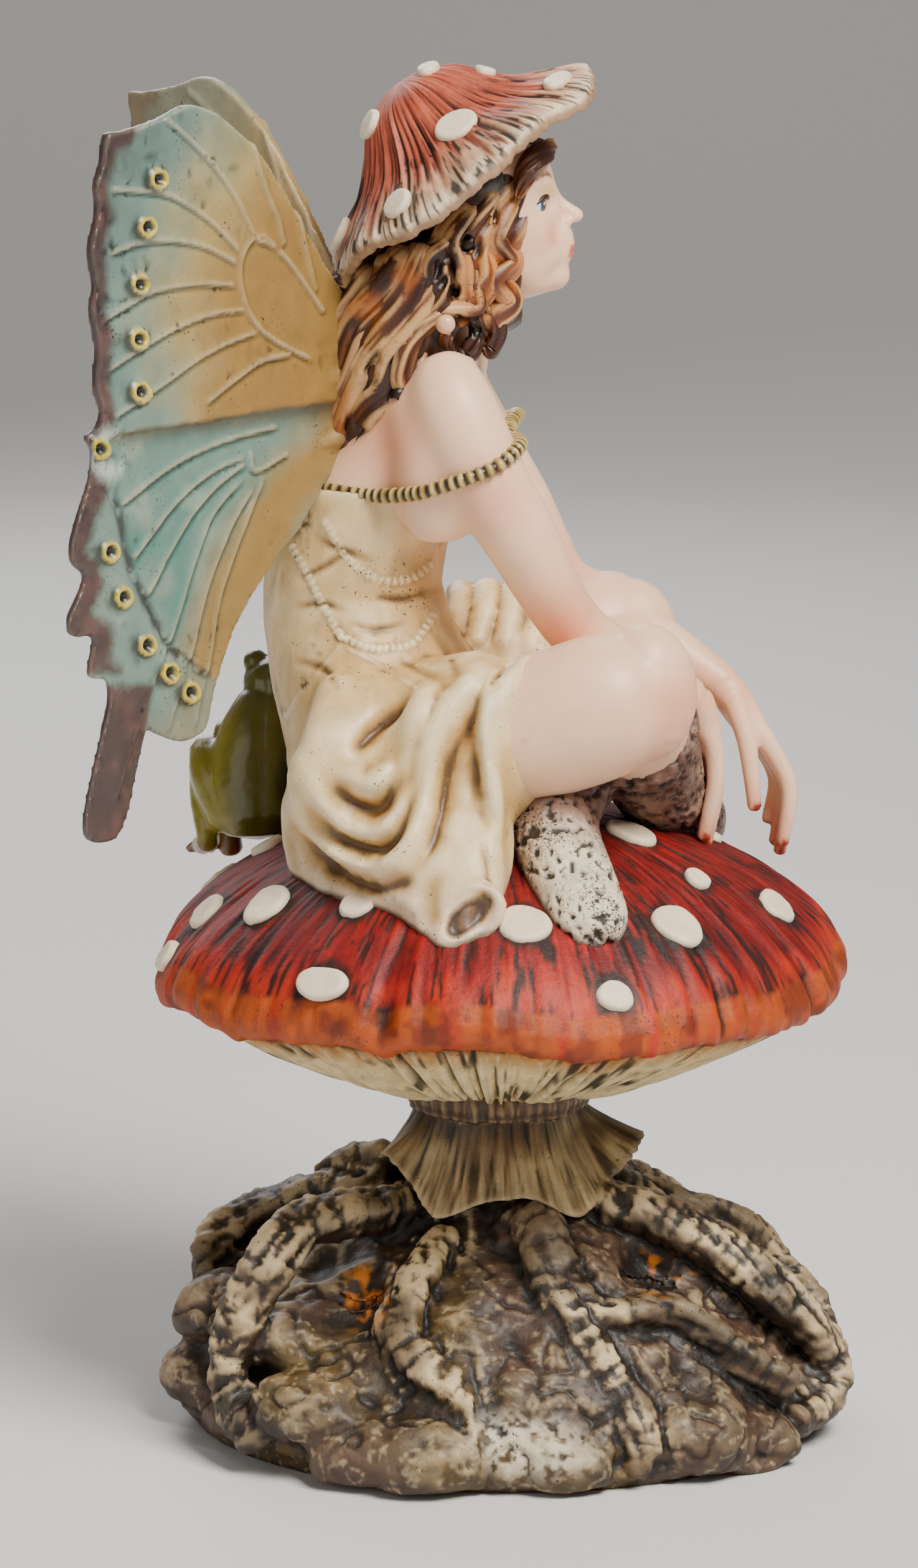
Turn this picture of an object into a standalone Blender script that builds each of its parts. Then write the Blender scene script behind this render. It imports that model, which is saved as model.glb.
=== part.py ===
"""Fairy figurine: a fairy seated on a toadstool, with a frog behind her.

Six cast pieces, glued together: the root base with its stalk, the toadstool's cap,
the frog, the fairy and her two wings. X is the way she faces, Y is her left, Z is up,
and the origin is the centre of the base's underside. Sizes are in millimetres.
"""
import bpy
import bmesh
import math
from mathutils import Matrix, Vector

MM = 0.001

# Fit between glued pieces
CLEARANCE = 0.3

# Root base and stalk
BASE_LENGTH = 119.0
BASE_DEPTH = 104.0
MOUND_HEIGHT = 42.0
ROOT_RADIUS = 4.2
STRAND_RADIUS = 2.3
STRAND_OFFSET = 2.6
STRAND_TWIST = 2.4
STALK_RADIUS = 12.0
STALK_HEIGHT = 19.0
COLLAR_RADIUS = 16.5
COLLAR_THICKNESS = 4.5
SKIRT_RADIUS = 24.0
SKIRT_LENGTH = 14.0
SKIRT_THICKNESS = 2.6
TENON_RADIUS = 8.0
TENON_LENGTH = 7.0

# Toadstool cap
CAP_RADIUS = 60.5
CAP_HEIGHT = 50.5
RIM_HEIGHT = 17.0
RIM_THICKNESS = 5.5
RIM_WAVE = 2.0
GILLS = 32
GILL_DEPTH = 1.6
SPOT_RISE = 1.3

# Fairy
HEM_DROP = 11.5
SPINE_LENGTH = 75.3
NECK_LENGTH = 11.0
NECK_RADIUS = 5.2
SHOULDER_WIDTH = 38.0
HIP_WIDTH = 34.0
HEAD_HEIGHT = 27.4
HEAD_WIDTH = 21.0
HEAD_DEPTH = 25.8
HAT_RADIUS = 28.6
HAT_HEIGHT = 19.3
HAT_TILT = 35.7
UPPER_ARM_LENGTH = 46.5
RIGHT_FOREARM_LENGTH = 27.0
LEFT_FOREARM_LENGTH = 36.0
SHOULDER_RADIUS = 7.4
WRIST_RADIUS = 4.2
HAND_LENGTH = 24.0
FINGER_RADIUS = 1.7
THIGH_LENGTH = 45.0
THIGH_RADIUS = 12.4
KNEE_RADIUS = 11.6
SHIN_LENGTH = 49.0
ANKLE_RADIUS = 5.4
FOOT_LENGTH = 25.0
FOOT_RADIUS = 6.4
SKIRT_DEPTH = 39.0
SKIRT_WIDTH = 74.0
BUST_RADIUS = 7.5
CLOTH_THICKNESS = 0.9
FOLD_RADIUS = 3.2
CORD_RADIUS = 1.5
HAIR_RADIUS = 3.4

# Wings
WING_ANGLE = 47.7
WING_REACH = 62.0
WING_HEIGHT = 121.0
WING_THICKNESS = 2.6
WING_ROOT_DEPTH = 6.0
WING_BOW = 1.5
VEIN_RADIUS = 1.5
EYESPOT_RADIUS = 2.6

# Frog
FROG_HEIGHT = 37.0
FROG_WIDTH = 17.5
FROG_LEG_RADIUS = 3.4

# Heights that follow from the sizes
COLLAR_TOP = MOUND_HEIGHT + STALK_HEIGHT
CAP_TOP = COLLAR_TOP + CAP_HEIGHT
HEM_LEVEL = CAP_TOP - HEM_DROP


def clear_scene():
    """Start from an empty file."""
    for item in list(bpy.data.objects):
        bpy.data.objects.remove(item)


def make_collection(name):
    """A collection under the scene's own."""
    group = bpy.data.collections.new(name)
    bpy.context.scene.collection.children.link(group)
    return group


def make_material(name, colour, roughness):
    """A plain painted resin."""
    paint = bpy.data.materials.new(name)
    paint.use_nodes = True
    shader = paint.node_tree.nodes["Principled BSDF"]
    shader.inputs["Base Color"].default_value = (*colour, 1.0)
    shader.inputs["Roughness"].default_value = roughness
    shader.inputs["Metallic"].default_value = 0.0
    return paint


def evaluated_mesh(item):
    """The mesh of an object with its modifiers."""
    graph = bpy.context.evaluated_depsgraph_get()
    return bpy.data.meshes.new_from_object(item.evaluated_get(graph))


def mesh_object(name, mesh):
    """A new object for a mesh, in the part's collection."""
    item = bpy.data.objects.new(name, mesh)
    PART.objects.link(item)
    return item


def bake(item):
    """Put an object's modifiers into its mesh."""
    mesh = evaluated_mesh(item)
    item.modifiers.clear()
    item.data = mesh
    return item


def ball(centre, radii, turn=None, segments=20):
    """An ellipsoid; turn is a rotation matrix."""
    shape = bmesh.new()
    bmesh.ops.create_uvsphere(shape, u_segments=segments, v_segments=segments // 2, radius=1.0)
    place = Matrix.Translation(Vector(centre) * MM)
    if turn is not None:
        place = place @ turn
    place = place @ Matrix.Diagonal((*(Vector(radii) * MM), 1.0))
    bmesh.ops.transform(shape, matrix=place, verts=shape.verts)
    mesh = bpy.data.meshes.new("ball")
    shape.to_mesh(mesh)
    shape.free()
    return mesh_object("ball", mesh)


def limb(points, radii, round_ends=True):
    """A tapered tube through points, as a bevelled curve made a mesh."""
    curve = bpy.data.curves.new("limb", "CURVE")
    curve.dimensions = "3D"
    curve.bevel_depth = MM
    curve.bevel_resolution = 3
    curve.resolution_u = 6
    curve.use_fill_caps = True
    spline = curve.splines.new("BEZIER")
    spline.bezier_points.add(len(points) - 1)
    spline.radius_interpolation = "CARDINAL"
    for knot, point, radius in zip(spline.bezier_points, points, radii):
        knot.co = Vector(point) * MM
        knot.radius = radius
        knot.handle_left_type = "AUTO"
        knot.handle_right_type = "AUTO"
    item = bpy.data.objects.new("limb", curve)
    PART.objects.link(item)
    mesh = evaluated_mesh(item)
    bpy.data.objects.remove(item)
    shape = bmesh.new()
    shape.from_mesh(mesh)
    bmesh.ops.remove_doubles(shape, verts=shape.verts, dist=0.0001 * MM)
    shape.to_mesh(mesh)
    shape.free()
    pieces = [mesh_object("limb", mesh)]
    if round_ends:
        pieces.append(ball(points[0], (radii[0],) * 3))
        pieces.append(ball(points[-1], (radii[-1],) * 3))
    return pieces


def loft(sections, sides=40):
    """A closed form through rings; each ring is a list of points, made by ring()."""
    shape = bmesh.new()
    rings = [[shape.verts.new(Vector(point) * MM) for point in ring] for ring in sections]
    for low, high in zip(rings, rings[1:]):
        for index in range(sides):
            after = (index + 1) % sides
            shape.faces.new((low[index], low[after], high[after], high[index]))
    shape.faces.new(list(reversed(rings[0])))
    shape.faces.new(rings[-1])
    bmesh.ops.recalc_face_normals(shape, faces=shape.faces)
    mesh = bpy.data.meshes.new("loft")
    shape.to_mesh(mesh)
    shape.free()
    return mesh_object("loft", mesh)


def ring(centre, half_depth, half_width, wave=0.0, waves=0, square=1.0, sides=40):
    """One level ring of a loft: an ellipse, boxier in front where square is under 1."""
    points = []
    for index in range(sides):
        angle = 2 * math.pi * index / sides
        swell = 1.0 + wave * math.sin(waves * angle)
        power = square if math.cos(angle) > 0 else 1.0
        forward = math.copysign(abs(math.cos(angle)) ** power, math.cos(angle))
        sideways = math.copysign(abs(math.sin(angle)) ** power, math.sin(angle))
        points.append((centre[0] + half_depth * swell * forward,
                       centre[1] + half_width * swell * sideways,
                       centre[2]))
    return points


def turned(profile, steps=64):
    """A turned form: radius and height pairs from top to bottom, with a Screw modifier."""
    mesh = bpy.data.meshes.new("turned")
    points = [(radius * MM, 0.0, height * MM) for radius, height in profile]
    mesh.from_pydata(points, [(index, index + 1) for index in range(len(points) - 1)], [])
    item = mesh_object("turned", mesh)
    screw = item.modifiers.new("turn", "SCREW")
    screw.steps = steps
    screw.render_steps = steps
    screw.use_merge_vertices = True
    screw.merge_threshold = 0.0001 * MM
    screw.use_smooth_shade = False
    return bake(item)


def displace(item, rule):
    """Move each point of an object by a rule that takes and gives millimetres."""
    for vertex in item.data.vertices:
        vertex.co = Vector(rule(vertex.co / MM)) * MM
    item.data.update()


def join(name, pieces):
    """Gather the pieces' meshes in one object."""
    shape = bmesh.new()
    for piece in pieces:
        shape.from_mesh(piece.data)
        bpy.data.objects.remove(piece)
    mesh = bpy.data.meshes.new(name)
    shape.to_mesh(mesh)
    shape.free()
    return mesh_object(name, mesh)


def drop_specks(item):
    """Take out the specks of a few points that thinning can leave beside the skin."""
    shape = bmesh.new()
    shape.from_mesh(item.data)
    left = set(shape.verts)
    while left:
        island = {left.pop()}
        edge = list(island)
        while edge:
            point = edge.pop()
            for link in point.link_edges:
                other = link.other_vert(point)
                if other in left:
                    left.remove(other)
                    island.add(other)
                    edge.append(other)
        if len(island) < 12:
            bmesh.ops.delete(shape, geom=list(island), context="VERTS")
    shape.to_mesh(item.data)
    shape.free()
    return item


def fuse(name, pieces, voxel, triangles, smooth=3):
    """Melt overlapping pieces into one skin, as clay would be, and thin its faces."""
    item = join(name, pieces)
    remesh = item.modifiers.new("melt", "REMESH")
    remesh.mode = "VOXEL"
    remesh.voxel_size = voxel * MM
    soften = item.modifiers.new("soften", "SMOOTH")
    soften.factor = 0.5
    soften.iterations = smooth
    bake(item)
    thin = item.modifiers.new("thin", "DECIMATE")
    thin.ratio = min(1.0, triangles / (2.0 * len(item.data.polygons)))
    return drop_specks(bake(item))


def combine(item, other, operation):
    """Boolean of two closed objects; the second one is used up."""
    boolean = item.modifiers.new("cut", "BOOLEAN")
    boolean.operation = operation
    boolean.solver = "EXACT"
    boolean.object = other
    bake(item)
    bpy.data.objects.remove(other)
    return item


def seat_on(item, neighbour):
    """Cut an item by its neighbour's form, grown by the clearance; the form is used up."""
    CUTTERS.objects.link(neighbour)
    PART.objects.unlink(neighbour)
    neighbour.hide_render = True
    neighbour.display_type = "WIRE"
    combine(item, neighbour, "DIFFERENCE")
    shape = bmesh.new()
    shape.from_mesh(item.data)
    bmesh.ops.dissolve_degenerate(shape, edges=shape.edges, dist=0.001 * MM)
    shape.to_mesh(item.data)
    shape.free()
    return item


def reach(start, toward, length):
    """The point at a length from a start, along a direction."""
    return Vector(start) + Vector(toward).normalized() * length


def finish(item, paint):
    """Give a piece its paint and a smooth shading."""
    item.data.materials.clear()
    item.data.materials.append(paint)
    item.data.shade_smooth()
    item.data.set_sharp_from_angle(angle=math.radians(50))


def make_base():
    """Mound of rock and roots, with the stalk, its collar and its hanging skirt."""
    half_length = BASE_LENGTH / 2
    half_depth = BASE_DEPTH / 2
    foot = 2.0
    mound = []
    outline = ((0.0, 0.95), (0.07, 1.0), (0.18, 0.98), (0.32, 0.91), (0.46, 0.82),
               (0.6, 0.7), (0.74, 0.55), (0.86, 0.4))
    for height, share in outline:
        mound.append(ring((foot * (1 - height), 0, height * MOUND_HEIGHT),
                          share * half_length, share * half_depth, wave=0.035, waves=7))
    pieces = [loft(mound)]
    crown = MOUND_HEIGHT
    # Roots arch out of the stalk and down over the mound: shares of the base's half length,
    # half depth and height, first those in front and then those behind
    roots = (((-0.31, -0.23, 0.95), (-0.48, -0.35, 1.0), (-0.62, -0.42, 0.96), (-0.72, -0.54, 0.83),
              (-0.79, -0.58, 0.61), (-0.83, -0.58, 0.41), (-0.8, -0.65, 0.26), (-0.72, -0.77, 0.14)),
             ((-0.37, 0.1, 0.89), (-0.56, 0.15, 0.91), (-0.73, 0.15, 0.86), (-0.86, 0.08, 0.76),
              (-0.9, -0.04, 0.65), (-0.9, -0.14, 0.5)),
             ((-0.24, -0.42, 0.81), (-0.29, -0.58, 0.71), (-0.33, -0.69, 0.56), (-0.24, -0.81, 0.45),
              (-0.15, -0.85, 0.38), (-0.1, -0.88, 0.24)),
             ((0.06, -0.31, 0.96), (0.11, -0.46, 0.85), (0.13, -0.58, 0.71), (0.2, -0.69, 0.54),
              (0.29, -0.77, 0.38), (0.36, -0.86, 0.25), (0.37, -0.92, 0.09)),
             ((0.14, -0.54, 0.75), (0.25, -0.62, 0.63), (0.43, -0.6, 0.62), (0.54, -0.6, 0.57),
              (0.69, -0.6, 0.41), (0.8, -0.6, 0.29)),
             ((0.26, -0.19, 0.98), (0.44, -0.23, 0.92), (0.63, -0.27, 0.8), (0.77, -0.31, 0.64),
              (0.89, -0.31, 0.46), (0.95, -0.31, 0.28), (0.92, -0.4, 0.15), (0.8, -0.56, 0.11)),
             ((0.34, 0.12, 0.95), (0.53, 0.19, 0.82), (0.71, 0.23, 0.71), (0.8, 0.23, 0.55),
              (0.92, 0.1, 0.38), (1.0, 0.0, 0.2)),
             ((0.2, 0.34, 0.95), (0.36, 0.5, 0.86), (0.5, 0.62, 0.68), (0.6, 0.7, 0.42),
              (0.66, 0.74, 0.14)),
             ((0.02, 0.32, 0.96), (0.04, 0.52, 0.9), (0.0, 0.7, 0.7), (0.08, 0.84, 0.46),
              (0.14, 0.94, 0.14)),
             ((-0.2, 0.3, 0.95), (-0.32, 0.5, 0.88), (-0.36, 0.68, 0.68), (-0.3, 0.82, 0.46),
              (-0.38, 0.88, 0.14)),
             ((-0.36, 0.24, 0.92), (-0.56, 0.4, 0.82), (-0.7, 0.5, 0.62), (-0.74, 0.58, 0.36),
              (-0.8, 0.6, 0.12)))
    for run in roots:
        path = [Vector((foot + x * half_length, y * half_depth, z * crown)) for x, y, z in run]
        pieces += limb(path, [ROOT_RADIUS * (1.05 - 0.4 * step / (len(run) - 1)) for step in range(len(run))])
        for start in (0.0, 2.4):
            strand = winding(path, STRAND_OFFSET, start, STRAND_TWIST)
            pieces += limb(strand, [STRAND_RADIUS] * len(strand))
    # The knot where two front roots part
    for x, y, z, size in ((0.08, -0.42, 0.9, 5.5), (0.12, -0.5, 0.79, 5.0), (0.18, -0.58, 0.67, 4.4)):
        pieces.append(ball((foot + x * half_length, y * half_depth, z * crown), (size, size, size)))
    # Boulders between the roots
    for angle, out, high, size in ((262, 0.8, 0.2, 10), (228, 0.78, 0.26, 9), (300, 0.78, 0.26, 9),
                                   (243, 0.84, 0.14, 8), (282, 0.88, 0.12, 8), (212, 0.76, 0.4, 8),
                                   (250, 0.62, 0.4, 7), (308, 0.56, 0.5, 8), (35, 0.7, 0.4, 9),
                                   (190, 0.86, 0.3, 9), (345, 0.84, 0.2, 10), (20, 0.84, 0.24, 10),
                                   (60, 0.8, 0.26, 10), (95, 0.82, 0.22, 11), (130, 0.8, 0.26, 10),
                                   (160, 0.86, 0.2, 9), (275, 0.52, 0.56, 9), (325, 0.74, 0.1, 9)):
        turn = math.radians(angle)
        place = (foot + out * half_length * math.cos(turn), out * half_depth * math.sin(turn),
                 high * crown)
        pieces.append(ball(place, (size, size, size * 0.8)))
    # Stalk and collar, then the skirt that hangs from the collar with a scalloped hem
    collar_low = COLLAR_TOP - COLLAR_THICKNESS
    stalk = turned(((0.0, COLLAR_TOP), (COLLAR_RADIUS - 0.8, COLLAR_TOP),
                    (COLLAR_RADIUS, COLLAR_TOP - 1.2), (COLLAR_RADIUS, collar_low + 1.0),
                    (COLLAR_RADIUS - 1.5, collar_low), (STALK_RADIUS, collar_low - 2.0),
                    (STALK_RADIUS, crown), (STALK_RADIUS + 7.0, crown - 4.0),
                    (STALK_RADIUS + 7.0, crown - 12.0), (0.0, crown - 12.0)))
    pieces.append(stalk)
    top = collar_low + 1.5
    skirt = turned(((STALK_RADIUS - 1.0, top), (COLLAR_RADIUS - 0.5, top),
                    (COLLAR_RADIUS + 1.0, top - 0.3 * SKIRT_LENGTH),
                    (SKIRT_RADIUS - 2.0, top - 0.7 * SKIRT_LENGTH),
                    (SKIRT_RADIUS, top - SKIRT_LENGTH),
                    (SKIRT_RADIUS - SKIRT_THICKNESS, top - SKIRT_LENGTH),
                    (COLLAR_RADIUS + 1.0 - SKIRT_THICKNESS, top - 0.5 * SKIRT_LENGTH),
                    (STALK_RADIUS - 1.0, top - 0.4 * SKIRT_LENGTH), (STALK_RADIUS - 1.0, top)), steps=48)

    # Its hem: degrees round the stalk, drop and flare as shares of the full ones
    hem = ((0, 0.68, 1.06), (30, 0.76, 1.0), (60, 0.98, 0.94), (90, 0.8, 0.88), (120, 1.1, 0.96),
           (150, 0.92, 0.9), (180, 0.82, 0.9), (205, 0.72, 0.94), (222, 0.92, 0.88), (240, 1.2, 0.95),
           (262, 0.98, 0.88), (286, 0.92, 0.88), (306, 1.2, 0.98), (330, 0.98, 0.94), (345, 0.8, 1.02),
           (360, 0.68, 1.06))

    def scallop(point):
        angle = math.degrees(math.atan2(point.y, point.x)) % 360.0
        for (start, drop_a, flare_a), (end, drop_b, flare_b) in zip(hem, hem[1:]):
            if start <= angle <= end:
                share = (angle - start) / (end - start)
                drop = drop_a + (drop_b - drop_a) * share
                flare = flare_a + (flare_b - flare_a) * share
        down = (top - point.z) / SKIRT_LENGTH
        spread = 1.0 + (flare - 1.0) * down
        return (point.x * spread, point.y * spread, top - (top - point.z) * (1.0 + (drop - 1.0) * down))

    displace(skirt, scallop)
    pieces.append(skirt)
    base = fuse("root_base", pieces, voxel=0.9, triangles=3200, smooth=1)
    # Flat underside, and the tenon that locates the cap
    floor = box((0, 0, -10), (2 * BASE_LENGTH, 2 * BASE_DEPTH, 20))
    combine(base, floor, "DIFFERENCE")
    combine(base, tenon_form(0.0), "UNION")
    return base


def winding(path, offset, start, twist):
    """A strand that winds round a path, at an offset from it."""
    strand = []
    for step, place in enumerate(path):
        ahead = path[min(step + 1, len(path) - 1)] - path[max(step - 1, 0)]
        side = ahead.cross(Vector((0.0, 0.0, 1.0))).normalized()
        up = side.cross(ahead).normalized()
        share = step / (len(path) - 1)
        angle = start + twist * share
        out = offset * (1.0 - 0.35 * share)
        strand.append(place + (side * math.cos(angle) + up * math.sin(angle)) * out)
    return strand


def tenon_form(grow):
    """The stub on the stalk that locates the cap, or its socket when grown."""
    radius = TENON_RADIUS + grow
    top = COLLAR_TOP + TENON_LENGTH + grow
    foot = COLLAR_TOP - 6.0
    return turned(((0.0, top), (radius - 1.0, top), (radius, top - 1.0), (radius, foot), (0.0, foot)),
                  steps=24)


def box(centre, size):
    """A plain block, used as a cutter."""
    shape = bmesh.new()
    bmesh.ops.create_cube(shape, size=1.0)
    place = Matrix.Translation(Vector(centre) * MM) @ Matrix.Diagonal((*(Vector(size) * MM), 1.0))
    bmesh.ops.transform(shape, matrix=place, verts=shape.verts)
    mesh = bpy.data.meshes.new("box")
    shape.to_mesh(mesh)
    shape.free()
    return mesh_object("box", mesh)


def cap_rise(share):
    """Height of the dome over the rim's top edge, by the share of the radius."""
    return (1.0 - share * share) ** 0.72


def rim_lift(angle):
    """How far the wavy rim stands above or below its mean level."""
    return RIM_WAVE * (0.55 * math.sin(3 * angle + 0.6) + 0.3 * math.sin(7 * angle + 1.0)
                       + 0.25 * math.sin(11 * angle))


def cap_form(grow):
    """Domed cap with a wavy rim, gills under it and raised spots, all grown outward."""
    rim_top = COLLAR_TOP + CLEARANCE + RIM_HEIGHT + RIM_THICKNESS
    dome = CAP_TOP - rim_top
    outer = CAP_RADIUS + grow
    rim_low = rim_top - RIM_THICKNESS
    under = COLLAR_TOP + CLEARANCE
    profile = [(outer * share, rim_top + dome * cap_rise(share) + grow)
               for share in (0.0, 0.2, 0.36, 0.5, 0.62, 0.73, 0.83, 0.91, 0.965)]
    profile += [(outer, rim_top), (outer + 0.3, rim_top - 0.5 * RIM_THICKNESS), (outer - 1.2, rim_low)]
    profile += [(outer * 0.9, rim_low - 0.6), (outer * 0.66, under + 0.45 * RIM_HEIGHT),
                (COLLAR_RADIUS + 5.0, under + 1.0), (COLLAR_RADIUS, under), (0.0, under)]
    cap = turned(profile, steps=2 * GILLS)

    def shape_rim(point):
        out = math.hypot(point.x, point.y)
        if out < 0.001:
            return point
        angle = math.atan2(point.y, point.x)
        share = out / CAP_RADIUS
        lift = rim_lift(angle) * share ** 4
        below = point.z < rim_low + 0.2 * RIM_THICKNESS
        if below and COLLAR_RADIUS + 1.0 < out < 0.96 * outer:
            fold = round(angle / (math.pi / GILLS)) % 2
            lift += GILL_DEPTH * (fold - 0.5)
        swell = 1.0 + 0.012 * math.sin(5 * angle + 2.0) * share ** 3
        return (point.x * swell, point.y * swell, point.z + lift)

    displace(cap, shape_rim)
    # Raised spots, laid out by angle and by share of the radius
    spots = []
    layout = ((191, 0.86, 4.2), (212, 0.78, 4.6), (236, 0.71, 3.9), (192, 0.96, 3.4), (240, 0.93, 4.8),
              (275, 0.76, 4.6), (289, 0.93, 3.8), (309, 0.8, 4.9), (333, 0.42, 4.4), (328, 0.66, 3.2),
              (343, 0.83, 4.6), (262, 0.9, 2.6), (12, 0.66, 4.2), (30, 0.88, 4.6), (52, 0.62, 4.0),
              (70, 0.86, 4.8), (96, 0.7, 4.4), (112, 0.9, 3.6), (170, 0.7, 3.2))
    for degrees, share, size in layout:
        angle = math.radians(degrees)
        out = share * CAP_RADIUS
        step = 0.01
        slope = dome * (cap_rise(share + step) - cap_rise(share - step)) / (2 * step * CAP_RADIUS)
        height = rim_top + dome * cap_rise(share) + rim_lift(angle) * share ** 4
        place = (out * math.cos(angle), out * math.sin(angle), height - 0.2 * SPOT_RISE)
        lean = Matrix.Rotation(angle, 4, "Z") @ Matrix.Rotation(-math.atan(slope), 4, "Y")
        radii = (size + grow, size * 0.88 + grow, 1.6 * SPOT_RISE + grow)
        spots.append(ball(place, radii, lean, segments=8))
    return combine(cap, join("spots", spots), "UNION")


def make_cap():
    """The toadstool's cap, with a socket for the tenon."""
    cap = seat_on(cap_form(0.0), tenon_form(CLEARANCE))
    cap.name = "mushroom_cap"
    return cap


def wing_outline():
    """The wing's edge: reach from the root and height, as shares of the whole wing."""
    fore = ((0.1, 0.765), (0.2, 0.825), (0.27, 0.87), (0.35, 0.925), (0.46, 0.966), (0.57, 0.996),
            (0.65, 1.0), (0.74, 0.985), (0.87, 0.972), (0.94, 0.965), (0.955, 0.925), (0.985, 0.9),
            (0.98, 0.866), (1.0, 0.792), (0.985, 0.732), (0.99, 0.682), (0.975, 0.613), (0.96, 0.57))
    hind = ((1.0, 0.56), (0.985, 0.505), (1.03, 0.455), (1.055, 0.412), (1.02, 0.375), (1.035, 0.35),
            (1.07, 0.312), (1.055, 0.292), (0.99, 0.288), (1.0, 0.25), (1.0, 0.23), (0.935, 0.222),
            (0.925, 0.192), (0.97, 0.134), (1.02, 0.05), (1.02, 0.012), (0.975, 0.0), (0.905, 0.004),
            (0.87, 0.032), (0.845, 0.073), (0.8, 0.143), (0.76, 0.137), (0.645, 0.12), (0.575, 0.133),
            (0.52, 0.2), (0.45, 0.275), (0.3, 0.354), (0.2, 0.393), (0.08, 0.466))
    return fore, hind


def wing_form(name, side, grow=0.0):
    """A butterfly wing: a thin plate with raised veins and eyespots, bowed and set to one side."""
    fore, hind = wing_outline()
    root_top = 0.69
    root_low = 0.5
    root = -WING_ROOT_DEPTH / WING_REACH
    upper = ((root, root_low), (root, root_top), *fore, (0.75, 0.56), (0.4, 0.55))
    lower = ((root, root_low), (root, 0.6), (0.4, 0.6), (0.75, 0.6), (0.96, 0.585), *hind)

    def flat(share):
        return Vector((share[0] * WING_REACH, 0.0, share[1] * WING_HEIGHT))

    pieces = []
    for edge, shift in ((upper, 0.35), (lower, -0.35)):
        curve = bpy.data.curves.new("plate", "CURVE")
        curve.dimensions = "2D"
        curve.fill_mode = "BOTH"
        curve.extrude = (WING_THICKNESS / 2 + grow) * MM
        curve.offset = grow * MM
        spline = curve.splines.new("POLY")
        spline.points.add(len(edge) - 1)
        spline.use_cyclic_u = True
        for knot, share in zip(spline.points, edge):
            knot.co = (share[0] * WING_REACH * MM, share[1] * WING_HEIGHT * MM, 0.0, 1.0)
        plate = bpy.data.objects.new("plate", curve)
        PART.objects.link(plate)
        mesh = evaluated_mesh(plate)
        bpy.data.objects.remove(plate)
        upright = Matrix.Translation((0.0, shift * side * MM, 0.0)) @ Matrix.Rotation(math.pi / 2, 4, "X")
        mesh.transform(upright)
        plate = mesh_object("plate", mesh)
        weld = plate.modifiers.new("weld", "WELD")
        weld.merge_threshold = 0.0001 * MM
        pieces.append(bake(plate))
    # Veins fan out from the cell near the root
    veins = (((0.0, 0.64), (0.22, 0.74), (0.45, 0.82), (0.66, 0.9), (0.82, 0.95)),
             ((0.2, 0.72), (0.42, 0.77), (0.64, 0.8), (0.92, 0.84)),
             ((0.3, 0.7), (0.5, 0.73), (0.72, 0.74), (0.95, 0.72)),
             ((0.3, 0.66), (0.5, 0.68), (0.74, 0.66), (0.96, 0.62)),
             ((0.04, 0.6), (0.3, 0.63), (0.55, 0.61), (0.84, 0.58)),
             ((0.02, 0.58), (0.3, 0.55), (0.58, 0.5), (0.85, 0.43), (1.0, 0.38)),
             ((0.06, 0.56), (0.3, 0.5), (0.56, 0.42), (0.8, 0.33), (0.96, 0.26)),
             ((0.08, 0.54), (0.3, 0.46), (0.5, 0.36), (0.76, 0.24), (0.94, 0.1)),
             ((0.1, 0.5), (0.26, 0.42), (0.42, 0.33), (0.54, 0.24), (0.62, 0.15)))
    for vein in veins:
        path = [flat(share) for share in vein]
        thick = [VEIN_RADIUS * (1.1 - 0.5 * step / (len(vein) - 1)) + 0.5 * WING_THICKNESS - 0.8 + grow
                 for step in range(len(vein))]
        pieces += limb(path, thick)
    # Eyespots stand out on both faces, one in each bay of the margin
    eyespots = ((0.86, 0.91), (0.88, 0.86), (0.9, 0.79), (0.89, 0.71), (0.88, 0.64), (0.96, 0.5),
                (0.95, 0.36), (0.9, 0.28), (0.8, 0.2), (0.72, 0.17), (0.64, 0.16))
    for share in eyespots:
        place = flat(share)
        for index in range(10):
            angle = 2 * math.pi * index / 10
            around = place + Vector((math.cos(angle), 0.0, math.sin(angle))) * EYESPOT_RADIUS * 0.75
            pieces.append(ball(around, (EYESPOT_RADIUS * 0.42, 0.5 * WING_THICKNESS + 1.0,
                                        EYESPOT_RADIUS * 0.42), segments=8))
    wing = fuse(name, pieces, voxel=0.8, triangles=1150 if grow == 0.0 else 2300, smooth=2)

    def bow(point):
        share = max(0.0, min(1.0, point.x / WING_REACH))
        return (point.x, point.y + side * WING_BOW * math.sin(math.pi * share), point.z)

    displace(wing, bow)
    turn = Matrix.Rotation(math.radians(180.0 - side * WING_ANGLE), 4, "Z")
    root_place = WING_ROOT + Vector((0.0, side * WING_SPLIT / 2, -WING_HEIGHT * root_top))
    wing.data.transform(Matrix.Translation(root_place * MM) @ turn)
    return wing


def spine(share):
    """A point of the straight line from the hips to the base of the neck."""
    return HIPS + (NECK - HIPS) * share


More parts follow.
